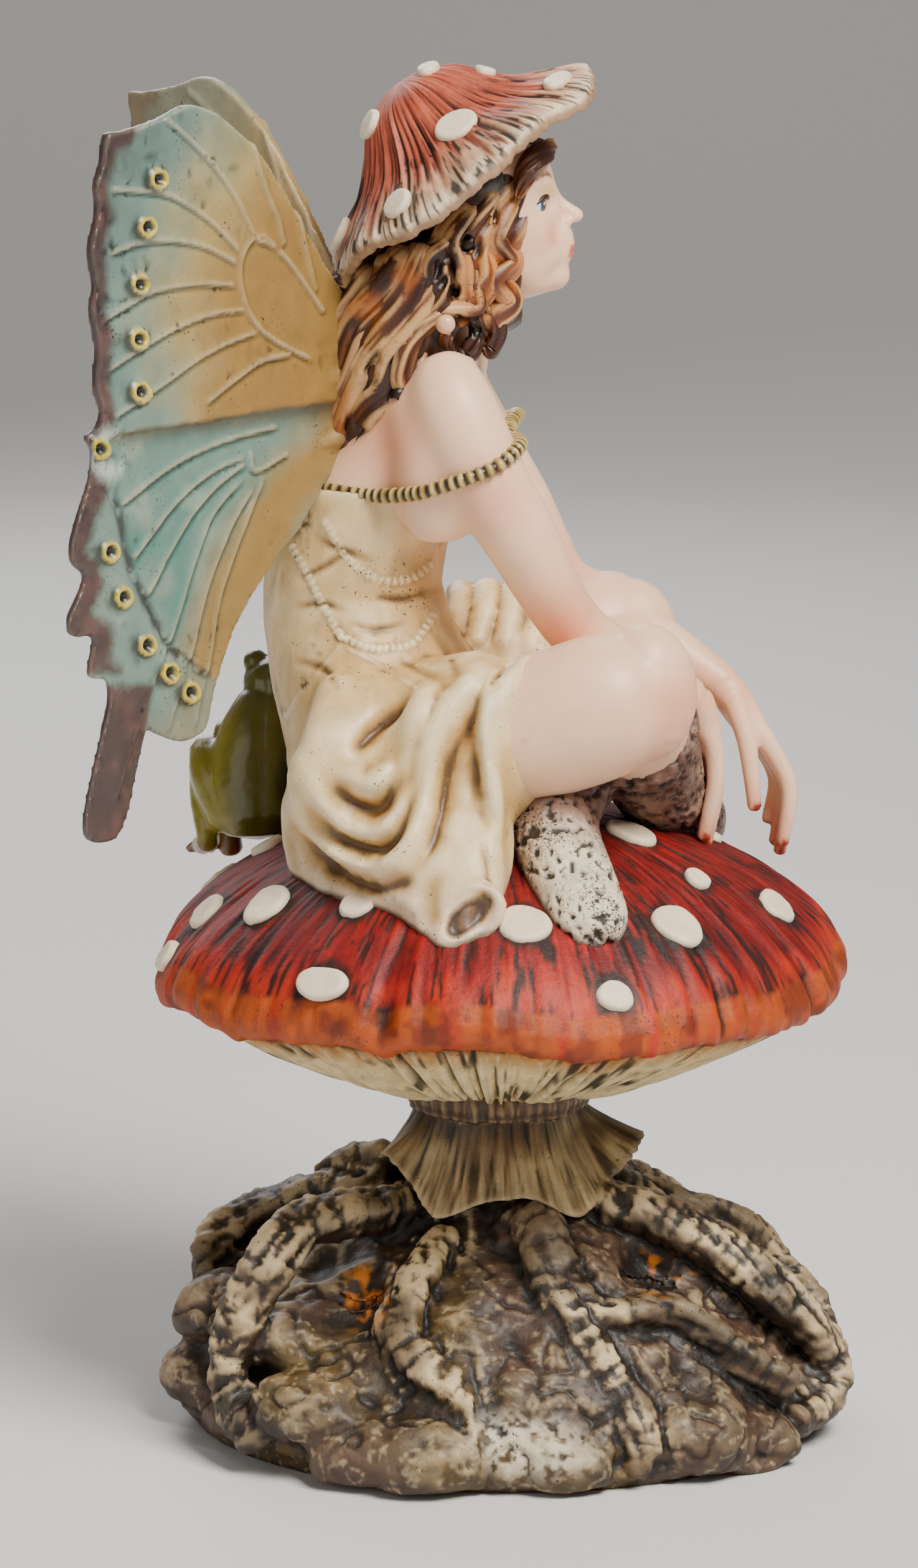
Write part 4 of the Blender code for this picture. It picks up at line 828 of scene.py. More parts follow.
def make_cap():
    """Toadstool cap: ridged crimson dome, wavy orange rim and cream gills."""
    dome = [(CAP_OUT * share, RIM_TOP + (CAP_TOP - RIM_TOP - 0.4) * (1 - share ** 2) ** 0.72)
            for share in np.concatenate(((0.002,), np.linspace(0.02, 0.95, 54), (0.965, 0.978, 0.988)))]
    lip = curve_through(((60.2, 84.6), (61.0, 82.6), (60.9, 80.2), (59.8, 78.8), (57.8, 78.4)), 5)
    gills = curve_through(((56.0, 77.6), (52.5, 75.4), (46.0, 72.0), (38.0, 68.0), (29.0, 64.4),
                           (21.0, 62.2),
                           (16.6, 61.4), (8.0, 61.4), (0.2, 61.4)), 5)
    profile = [*dome, *lip, *gills]
    top_rows = len(dome)
    lip_rows = top_rows + len(lip)
    count = len(profile)

    def rule(angle, radius, height, share):
        row = round(share * (count - 1))
        reach_out = radius / CAP_OUT
        circle = np.stack((60 * np.cos(angle), 60 * np.sin(angle), np.full(len(angle), 0.0)), axis=1)
        lift = rim_lift(angle) * np.minimum(reach_out, 1.0) ** 4
        swell = 1.0 + 0.008 * np.sin(5 * angle + 2.0) * reach_out ** 3
        notch = np.zeros(len(angle))
        for degrees, depth in CAP_NOTCHES:
            gap = (np.degrees(angle) - degrees + 180) % 360 - 180
            notch += depth * np.exp(-(gap / (1.1 + 0.5 * depth)) ** 2)
        if row < lip_rows:
            circle[:, 2] = radius * 0.16
            ridge = 0.62 * noise(circle, 2.3, 2, 2) + 0.3 * noise(circle, 1.0, 12)
            strength = 0.12 + 0.5 * fade(reach_out, 0.2, 0.75)
            calm = 1 - 0.55 * fade(reach_out, 0.95, 1.0)
            z = height + lift + ridge * strength * calm - notch * 0.8 * fade(reach_out, 0.72, 0.98)
            lumps = 0.9 * noise(circle, 5.0, 22, 2) + 0.6 * noise(circle, 1.9, 23)
            edge = fade(reach_out, 0.93, 1.0)
            r = radius * swell + edge * (lumps * 0.8 - 0.9 * notch - 0.35)
            z = z + edge * 0.5 * noise(circle, 6.0, 24, 2)
        else:
            circle[:, 2] = radius * 0.05
            groove = noise(circle, 1.35, 31) + 0.5 * noise(circle, 0.7, 32)
            out = fade(radius, 16.5, 24.0) * (1 - fade(radius, 55.5, 57.8))
            z = height + lift * fade(radius, 20, 58) + out * (1.3 * groove - 0.1)
            r = radius * swell - 0.5 * notch * fade(radius, 45, 57)
        return r, z, angle

    item = revolved("toadstool_cap", profile, CAP_SIDES, rule)
    skin = Skin(item, CRIMSON)
    x, y, z = skin.points.T
    out = np.hypot(x, y)
    angle = np.arctan2(y, x)
    circle = np.stack((60 * np.cos(angle), 60 * np.sin(angle), out * 0.16), axis=1)
    row = np.minimum(np.arange(len(skin.points)) // CAP_SIDES, count - 1)
    row = count - 1 - row
    under = row >= lip_rows
    rim = (row >= top_rows - 1) & ~under
    streak = noise(circle, 1.6, 41, 2)
    patch = skin.noise(16.0, 42, 2)
    skin.paint(tone(150, 40, 24), 0.8 * fade(patch + 0.4 * streak, -0.1, 0.8))
    skin.paint(tone(74, 14, 14), 0.7 * fade(-patch + 0.4 * streak, 0.1, 0.9))
    skin.paint(tone(186, 80, 34), 0.7 * fade(out + 2.5 * streak + 1.5 * patch, 54.0, 60.0))
    level = skin.hollow(8)
    skin.paint(BLACK_WASH_AND_SHADE, 0.95 * fade(level, 0.0, 0.1) * (1 - 0.3 * rim))
    skin.paint(tone(190, 66, 34), 0.4 * fade(-level, 0.03, 0.14))
    dashes = noise(np.stack((60 * np.cos(angle), 60 * np.sin(angle), out * 0.2), axis=1), 0.9, 51, 2)
    skin.paint(BLACK_WASH_AND_SHADE, 0.9 * fade(dashes, 0.2, 0.42) * fade(out, 14, 36) * ~rim)
    edge = noise(circle, 3.0, 43, 2)
    skin.paint(tone(172, 92, 36), 0.92 * rim * fade(edge + 1.2, 0.3, 1.0))
    skin.paint(tone(104, 42, 20), 0.7 * rim * fade(skin.noise(3.4, 44, 2) + 0.3 * edge, 0.0, 0.6))
    skin.paint(tone(46, 22, 14), 0.8 * rim * fade(level, 0.05, 0.2))
    # Gills: cream, dark in the grooves, warm next to the rim
    skin.paint(tone(226, 208, 168), under.astype(float))
    skin.paint(tone(172, 112, 52), 0.8 * under * fade(out + 2 * edge, 47, 57))
    skin.paint(tone(230, 218, 190), 0.5 * under * fade(-level, 0.05, 0.3))
    skin.paint(BLACK_WASH_AND_SHADE, 0.9 * under * fade(level, 0.12, 0.38))
    groove_dash = noise(np.stack((60 * np.cos(angle), 60 * np.sin(angle), out * 0.12), axis=1), 1.2,
                        55, 2)
    skin.paint(BLACK_WASH_AND_SHADE, 0.92 * under * fade(groove_dash, 0.22, 0.5)
               * fade(skin.noise(6.0, 56), -0.4, 0.3))
    # A dark line round each spot
    for sx, sy, across, outward in CAP_SPOTS:
        turn = math.degrees(math.atan2(sy, sx))
        away = blob(np.stack((x, y), axis=1), (sx, sy), (outward * 0.93 + 0.7, across + 0.7), turn)
        skin.paint(BLACK_WASH_AND_SHADE, 0.9 * (1 - fade(away, 0.9, 1.1)) * (row < top_rows - 1))
    skin.finish(painted("painted_cap", 0.56, 0.3, 0.4, 0.3, 0.6, coat=0.02), "red_cap", "mushroom_cap")

    shapes = []
    for number, (sx, sy, across, outward) in enumerate(CAP_SPOTS):
        heading = math.atan2(sy, sx)
        step = 0.5
        here = np.array((sx, sy), dtype=float)
        ahead = here * (1 + step / np.hypot(sx, sy))
        behind = here * (1 - step / np.hypot(sx, sy))
        slope = (cap_height(*ahead) - cap_height(*behind)) / (2 * step)
        turn = Matrix.Rotation(heading, 4, "Z") @ Matrix.Rotation(-math.atan(slope), 4, "Y")
        points, faces = ball((0, 0, 0), (outward, across, 1.25), None, 44)
        direction = np.arctan2(points[:, 1], points[:, 0])
        wobble = 1 + 0.05 * np.sin(2 * direction + number) + 0.04 * np.sin(3 * direction + 2 * number)
        points[:, :2] *= wobble[:, None]
        # Flat-topped, like a dab of thick paint
        points[:, 2] = np.clip(points[:, 2] * 1.7, -1.25, 1.0)
        points = points @ np.array(turn.to_3x3()).T + np.array((sx, sy, float(cap_height(sx, sy)) + 0.1))
        shapes.append((points, faces))
    spots = Skin(melt("cap_spots", shapes, 0.3, 3), IVORY)
    spots.push(0.1 * noise(spots.points, 1.6, 5, 2))
    spots.antique(tone(120, 92, 66), tone(246, 238, 222), 0.14, 8, 0.6, 0.4)
    spots.finish(painted("painted_spots", 0.5, 0.12, 0.25), "red_cap", "mushroom_cap")



# The fairy's main points, as in the solids
SKULL = np.array((-2.0, 0.0, 214.0))


def mirrored(knots):
    """The same knots on her left."""
    return [(x, -y, z) for x, y, z in knots]


def skin_paint():
    """Porcelain-like flesh paint."""
    return painted("painted_flesh", 0.44, 0.05, 0.06, subsurface=0.12, coat=0.08)


def hand(wrist, knuckles, fingers, thumb, thick=1.55):
    """An open hand as tubes: palm, four fingers and a thumb, each a list of knots."""
    shapes = []
    wrist = np.array(wrist, dtype=float)
    for start, bend, tip in fingers:
        shapes.append(tube((wrist * 0.5 + np.array(start) * 0.5, start, bend, tip),
                           (2.3, thick * 1.12, thick, thick * 0.78), 14, 5))
    middle = np.array(knuckles, dtype=float)
    shapes.append(tube((wrist, wrist * 0.5 + middle * 0.5, middle), (3.3, 3.2, 2.6), 20, 6, 1.0))
    shapes.append(tube(thumb, (2.3, 1.9, 1.6, 1.3), 12, 5))
    return shapes


NEAR_ARM = ((-9.6, -15.5, 188.6), (-8.2, -18.6, 183.4), (-5.0, -20.2, 176.0), (-1.2, -20.6, 168.6),
            (3.3, -19.6, 161.0), (8.0, -17.0, 152.0), (12.6, -13.0, 144.6), (17.5, -10.2, 140.0),
            (25.0, -6.5, 135.2), (33.6, -3.6, 130.0))
NEAR_ARM_RADII = (6.0, 7.5, 7.6, 7.1, 6.5, 5.7, 5.3, 5.2, 4.7, 3.5)
FAR_ARM = ((-10.6, 15.0, 187.4), (-9.4, 18.2, 182.4), (-5.8, 20.0, 175.6), (-1.4, 21.2, 168.4),
           (3.2, 22.2, 160.6), (7.5, 23.2, 152.5), (11.5, 23.2, 146.0), (18.0, 20.6, 142.6),
           (29.0, 16.2, 136.4), (40.0, 12.4, 129.6))
FAR_ARM_RADII = (6.0, 7.4, 7.4, 6.9, 6.4, 5.7, 5.4, 5.3, 4.6, 3.4)


NAILS = ((35.8, -2.1, 104.6), (36.3, -0.5, 102.8), (35.9, 1.2, 104.2), (34.9, 2.8, 107.0),
         (32.7, -0.4, 111.8), (50.5, 9.8, 101.0), (50.0, 11.8, 98.9), (49.2, 13.6, 100.3),
         (48.1, 15.4, 103.9), (45.5, 6.7, 107.6))


def make_torso():
    """Bare back, chest and neck, with the arms and their open hands over the knees."""
    shapes = [trunk_rings(156, 210), tube(NEAR_ARM, NEAR_ARM_RADII, 28, 6),
              tube(FAR_ARM, FAR_ARM_RADII, 28, 6)]
    shapes += hand((34.2, -3.0, 129.6), (36.8, -1.2, 122.4),
                   (((37.6, -2.6, 120.4), (37.8, -2.4, 114.0), (35.9, -2.0, 104.9)),
                    ((37.6, -0.8, 119.8), (38.0, -0.6, 112.6), (36.4, -0.4, 103.2)),
                    ((37.2, 1.0, 119.8), (37.6, 1.2, 113.0), (36.0, 1.2, 104.6)),
                    ((36.4, 2.8, 120.4), (36.6, 3.0, 114.6), (35.0, 2.8, 107.4))),
                   ((33.8, -2.0, 128.0), (34.0, -1.4, 123.4), (33.6, -0.8, 117.6), (32.8, -0.4, 112.4)))
    shapes += hand((40.4, 12.0, 129.0), (46.0, 11.4, 120.6),
                   (((48.0, 9.4, 119.2), (51.6, 9.6, 111.4), (50.6, 9.8, 101.4)),
                    ((48.2, 11.4, 118.4), (52.0, 11.6, 110.4), (50.2, 11.8, 99.4)),
                    ((47.6, 13.2, 118.2), (51.0, 13.6, 110.8), (49.4, 13.6, 100.8)),
                    ((46.6, 14.8, 118.6), (49.6, 15.4, 112.2), (48.2, 15.4, 104.4))),
                   ((41.6, 10.0, 127.2), (43.6, 8.0, 121.6), (44.6, 7.2, 115.6), (45.4, 6.8, 108.4)))
    for side in (-1, 1):
        shapes.append(ball((-10.2, side * 15.0, 184.0), (6.6, 6.8, 6.6)))
        shapes.append(ball((-13.0, side * 13.0, 178.0), (7.6, 8.0, 9.0)))
        shapes.append(tube(((-4.6, side * 3.0, 190.4), (-4.6, side * 10.0, 190.6),
                            (-6.6, side * 15.6, 189.0)),
                           (1.6, 1.5, 2.2), 12))
        shapes.append(ball((-6.2, side * 6.6, 172.6), (8.0, 7.2, 7.4)))
        # Flesh between the shoulder blade and the upper arm
        shapes.append(tube(((-15.0, side * 12.4, 183.0), (-11.8, side * 15.4, 178.0),
                            (-10.6, side * 17.2, 170.0),
                            (-10.0, side * 16.4, 163.0)), (6.4, 7.6, 7.6, 6.4), 24))
    skin = Skin(melt("torso", shapes, 0.42, 6), SKIN_TONE)
    even = fade(skin.points[:, 2], 158, 166)[:, None] * (1 - fade(skin.points[:, 0], 4, 10))[:, None]
    skin.points = skin.points * (1 - even) + skin.blur(skin.points, 110) * even
    skin.refresh()
    for side, wrist in ((-1, NEAR_ARM[-1]), (1, FAR_ARM[-1])):
        # Shoulder blade, then the blush on it, on the elbow and on the wrist
        blade = skin.away((-18.5, side * 11.0, 180.0), (6, 6, 9))
        skin.push(0.7 * (1 - fade(blade, 0.1, 1.1)))
        for centre, size, strength in (((-15, side * 15, 176), 11, 0.6), ((10, side * 19, 146), 10, 0.42),
                                       (wrist, 9, 0.3), ((-2, side * 27, 168), 8, 0.3)):
            away = skin.away(centre)
            skin.paint(BLUSH, strength * (1 - fade(away, 0.1 * size, 1.3 * size)))
    skin.push(-0.7 * (1 - fade(np.abs(skin.points[:, 1]) + 20 * (skin.points[:, 0] > -14), 0.5, 4.0)))
    for nail in NAILS:
        away = skin.away(nail, (1.35, 1.35, 2.4))
        skin.paint(BLUSH, 0.35 * (1 - fade(away, 1.2, 3.4)))
        skin.paint(tone(140, 16, 20), (1 - fade(away, 0.95, 1.15)) * fade(skin.normals[:, 0], -0.5, 0.1))
    # Painted shade in the creases and hollows of the skin
    skin.paint(tone(176, 118, 94), 0.6 * fade(skin.hollow(30), 0.12, 0.6))
    skin.finish(FLESH, "figure_paint", "fairy")


NEAR_THIGH = ((-16.0, -16.5, 121.0), (-4.0, -20.4, 124.8), (8.0, -23.4, 128.8), (18.0, -25.2, 132.6),
              (23.8, -25.2, 134.6))
NEAR_SHIN = ((21.6, -22.0, 132.6), (23.6, -14.0, 126.0), (26.0, -6.0, 119.6), (28.6, 1.0, 113.0),
             (31.6, 8.6, 108.6))
FAR_THIGH = ((-16.0, 16.5, 122.0), (-4.0, 19.0, 128.0), (10.0, 21.0, 134.0), (19.0, 22.0, 137.0),
             (23.4, 21.4, 137.4))
FAR_SHIN = ((22.4, 18.6, 134.6), (19.0, 4.0, 128.0), (14.2, -8.4, 121.0), (9.6, -18.6, 114.4),
            (9.0, -24.6, 110.6))
NEAR_FOOT = ((31.6, 8.6, 108.6), (33.0, 13.0, 106.8), (34.2, 18.0, 105.0), (35.0, 25.0, 102.0),
             (35.4, 31.0, 99.0))
FAR_FOOT = ((9.0, -24.6, 110.6), (10.4, -30.0, 107.4), (12.8, -36.6, 103.0), (15.2, -42.4, 98.6),
            (16.0, -44.8, 96.8))


def make_socks():
    """Pitted knitted socks: mauve-brown at the shin, cream on the foot, with a rolled top."""
    shapes = []
    for shin, radii, foot, foot_radii in (((NEAR_SHIN[1:]), (10.4, 9.4, 8.2, 7.2), NEAR_FOOT,
                                           (7.2, 6.8, 6.6, 6.2, 4.6)),
                                          ((FAR_SHIN[2:]), (9.0, 8.4, 8.0), FAR_FOOT,
                                           (8.0, 7.6, 7.2, 6.6, 5.2))):
        shapes.append(tube(shin, radii, 30, 7))
        shapes.append(tube(foot, foot_radii, 30, 6))
        # The rolled top edge lies square to the shin
        first = np.array(shin[0])
        course = np.array(shin[1]) - first
        course /= np.linalg.norm(course)
        side = np.cross(course, (0.0, 0.0, 1.0))
        side /= np.linalg.norm(side)
        up = np.cross(side, course)
        ring = [first + course * 0.6 + (side * math.cos(turn) + up * math.sin(turn)) * (radii[0] - 0.3)
                for turn in np.linspace(0, 2 * math.pi, 17)]
        shapes.append(tube(ring, [1.15] * 17, 12, 4))
    skin = Skin(melt("socks", shapes, 0.46, 4), tone(128, 100, 90))
    pits = skin.noise(1.15, 80, 2)
    coarse = skin.noise(5.0, 81, 2)
    toe = np.maximum(fade(skin.points[:, 1], 14, 24), fade(-skin.points[:, 1], 24, 42))
    skin.paint(tone(84, 58, 50), 0.45 * fade(coarse, 0.0, 0.8) * (1 - toe))
    skin.paint(tone(206, 184, 164), 0.7 * fade(-pits - 0.3 * coarse, 0.0, 0.5) * (1 - toe))
    skin.paint(tone(92, 62, 54), 0.6 * (1 - toe) * fade(-skin.points[:, 1], 2, 14))
    skin.paint(tone(240, 230, 210), 0.95 * toe * fade(toe + 0.6 * pits, 0.1, 0.5))
    skin.push(-0.6 * fade(pits, 0.1, 0.5))
    skin.paint(BLACK_WASH_AND_SHADE, 0.92 * fade(pits, 0.3, 0.44))
    low = skin.points[:, 2] - cap_height(skin.points[:, 0], skin.points[:, 1])
    skin.points[:, 2] += np.maximum(-0.4 - low, 0.0) * (low > -7)
    skin.refresh()
    # Painted shade where the socks meet the cap
    skin.paint(BLACK_WASH_AND_SHADE, 0.7 * (1 - fade(low, 0.3, 2.4)))
    skin.finish(painted("painted_sock", 0.55, 0.3, 0.5, 0.8, 0.5, coat=0.08), "figure_paint", "fairy")


def make_legs():
    """Crossed legs with bare knees."""
    near = [tube(NEAR_THIGH, (12.0, 11.6, 12.4, 12.4, 10.6), 36, 7),
            tube(NEAR_SHIN, (10.4, 9.6, 8.4, 7.2, 6.2), 30, 7),
            ball((25.0, -24.4, 134.6), (8.8, 8.8, 12.0))]
    far = [tube(FAR_THIGH, (13.4, 13.0, 12.2, 11.6, 10.2), 36, 7),
           tube(FAR_SHIN, (9.4, 8.8, 7.8, 7.2, 6.4), 30, 7), ball((23.6, 21.4, 136.6), (8.6, 8.6, 10.8))]
    for name, shapes, knee in (("leg_right", near, (27.0, -26.0, 134.0)),
                               ("leg_left", far, (26.0, 23.0, 136.0))):
        skin = Skin(melt(name, shapes, 0.5, 6), SKIN_TONE)
        away = skin.away(knee)
        skin.paint(BLUSH, 0.5 * (1 - fade(away, 3, 15)) * fade(140 - skin.points[:, 2], -2, 6))
        # Painted shade in the creases and hollows of the legs
        skin.paint(tone(190, 128, 102), 0.5 * fade(skin.hollow(40), 0.2, 0.9))
        skin.finish(FLESH, "figure_paint", "fairy")


TRUNK = (((-16.6, 92.0), 18.4, 37.0, 0.8),
         ((-16.8, 98.0), 18.4, 37.4, 0.8),
         ((-17.2, 104.0), 18.0, 37.0, 0.8),
         ((-17.6, 111.0), 17.6, 35.8, 0.8),
         ((-18.2, 118.0), 17.6, 33.6, 0.82),
         ((-19.2, 124.0), 17.8, 30.4, 0.85),
         ((-20.6, 130.0), 17.8, 26.2, 0.9),
         ((-22.8, 137.0), 16.8, 21.0, 1.0),
         ((-24.8, 144.0), 15.4, 17.0, 1.0),
         ((-25.6, 150.0), 14.6, 15.2, 1.0),
         ((-24.8, 156.0), 14.8, 15.4, 1.0),
         ((-23.2, 162.0), 14.8, 16.4, 1.0),
         ((-20.4, 168.0), 14.2, 17.2, 1.0),
         ((-17.0, 174.0), 13.6, 17.6, 1.0),
         ((-14.0, 180.0), 12.2, 17.8, 1.0),
         ((-12.0, 185.0), 10.2, 17.0, 1.0),
         ((-10.2, 189.5), 7.6, 13.0, 1.0),
         ((-8.8, 193.0), 5.6, 7.2, 1.0),
         ((-7.0, 198.0), 5.0, 5.0, 1.0),
         ((-4.8, 204.0), 5.2, 5.0, 1.0))


def trunk_rings(low, high, grow=0.0):
    """Level rings of the body between two heights."""
    rows = [row for row in TRUNK if low <= row[0][1] <= high]
    return level_rings([((x, 0.0, z), depth + grow, width + grow, square)
                        for (x, z), depth, width, square in rows], 64)


# The hem of the dress on the cap, in pixels of the photograph from the back to the front
HEM = ((477, 1407), (502, 1424), (528, 1438), (562, 1448), (600, 1458), (632, 1468), (660, 1486),
       (686, 1506), (714, 1524), (748, 1516), (780, 1492), (799, 1440))
# Folds of the skirt: pixels along the fold, width in pixels and height in millimetres, hollows below zero
FOLDS = ((((555, 1233), (573, 1259), (606, 1260), (639, 1233), (660, 1182), (681, 1128), (714, 1104)),
          25, 1.9),
         (((465, 1200), (486, 1254), (519, 1296), (558, 1327), (600, 1337), (630, 1314), (651, 1266),
           (666, 1218), (684, 1164), (708, 1134)), 25, 1.5),
         (((477, 1272), (510, 1332), (546, 1368), (588, 1392), (621, 1398), (651, 1374), (675, 1326),
           (687, 1272), (702, 1206), (726, 1146), (762, 1098), (804, 1071)), 28, 2.6),
         (((838, 1065), (796, 1100), (778, 1164), (782, 1230), (793, 1296), (797, 1380)), 15, 1.2),
         (((660, 1117), (606, 1167), (567, 1212)), 15, -1.5),
         (((549, 1248), (564, 1287), (600, 1305), (627, 1284), (647, 1236), (666, 1176), (690, 1134)),
          26, -1.9),
         (((477, 1224), (498, 1284), (534, 1332), (576, 1361), (612, 1368), (642, 1344), (663, 1296),
           (678, 1236), (693, 1182)), 18, -1.5),
         (((650, 1396), (684, 1344), (701, 1284), (713, 1218), (734, 1164), (768, 1116)), 30, -2.0),
         (((492, 1332), (528, 1386), (576, 1413), (624, 1421), (658, 1400)), 24, -1.5),
         (((764, 1140), (757, 1200), (768, 1290)), 18, -0.9),
         (((704, 1392), (694, 1450), (706, 1500)), 26, -0.8),
         (((600, 1425), (640, 1440), (676, 1470)), 20, 0.6))

# Small wrinkles, braids and seams, in pixels, then the curl of the hem, a darker place on the back and a
# place of painted shade at the armpit
WRINKLES = (((470, 976), (520, 970), (560, 985)),
            ((600, 960), (650, 962), (690, 950)),
            ((560, 1000), (600, 1012), (650, 1004)),
            ((480, 930), (530, 905), (560, 880)),
            ((470, 1060), (520, 1075), (545, 1110)),
            ((690, 1010), (720, 1050), (735, 1090)),
            ((640, 1060), (680, 1080), (716, 1092)),
            ((505, 860), (540, 880), (600, 900)),
            ((775, 1350), (785, 1410), (780, 1440)))
BRAIDS = (((522, 840), (564, 903), (619, 933), (665, 928), (690, 908)),
          ((548, 1022), (589, 1040), (621, 1042), (664, 1033), (700, 984)),
          ((548, 1024), (520, 975), (498, 930), (470, 880)))
SEAMS = (((550, 1033), (512, 1080), (478, 1120), (457, 1158)),
         ((553, 1040), (614, 1072), (671, 1108)),
         ((454, 897), (436, 990), (439, 1097), (461, 1158)))
HEM_CURL = (750, 1474)
# The first smoothing leaves the cloth round this place as it is
HEM_CRISP = (752, 1476)
BACK_SMUDGE = (478, 838)
ARMPIT_SHADE = (705, 812)


def trim(skin, knots, width, rise, step):
    """A raised ribbed braid along knots in pixels: its height, and its strength for painting."""
    line = curve_through(knots, 6)
    strength = np.zeros(len(skin.points))
    ribs = np.zeros(len(skin.points))
    near = np.all((skin.pixels > line.min(axis=0) - width) & (skin.pixels < line.max(axis=0) + width),
                  axis=1)
    near &= skin.facing
    if near.any():
        away, where = along(skin.pixels[near], line)
        length = np.linalg.norm(np.diff(line, axis=0), axis=1).sum()
        strength[near] = 1 - fade(away, 0.55 * width, 0.95 * width)
        ribs[near] = np.cos(2 * np.pi * where * length / step)
    skin.push(rise * strength * (0.75 + 0.35 * ribs))
    skin.paint(tone(226, 204, 164), 0.7 * strength)
    skin.paint(tone(96, 66, 40), 0.8 * strength * fade(-ribs, 0.1, 0.9))


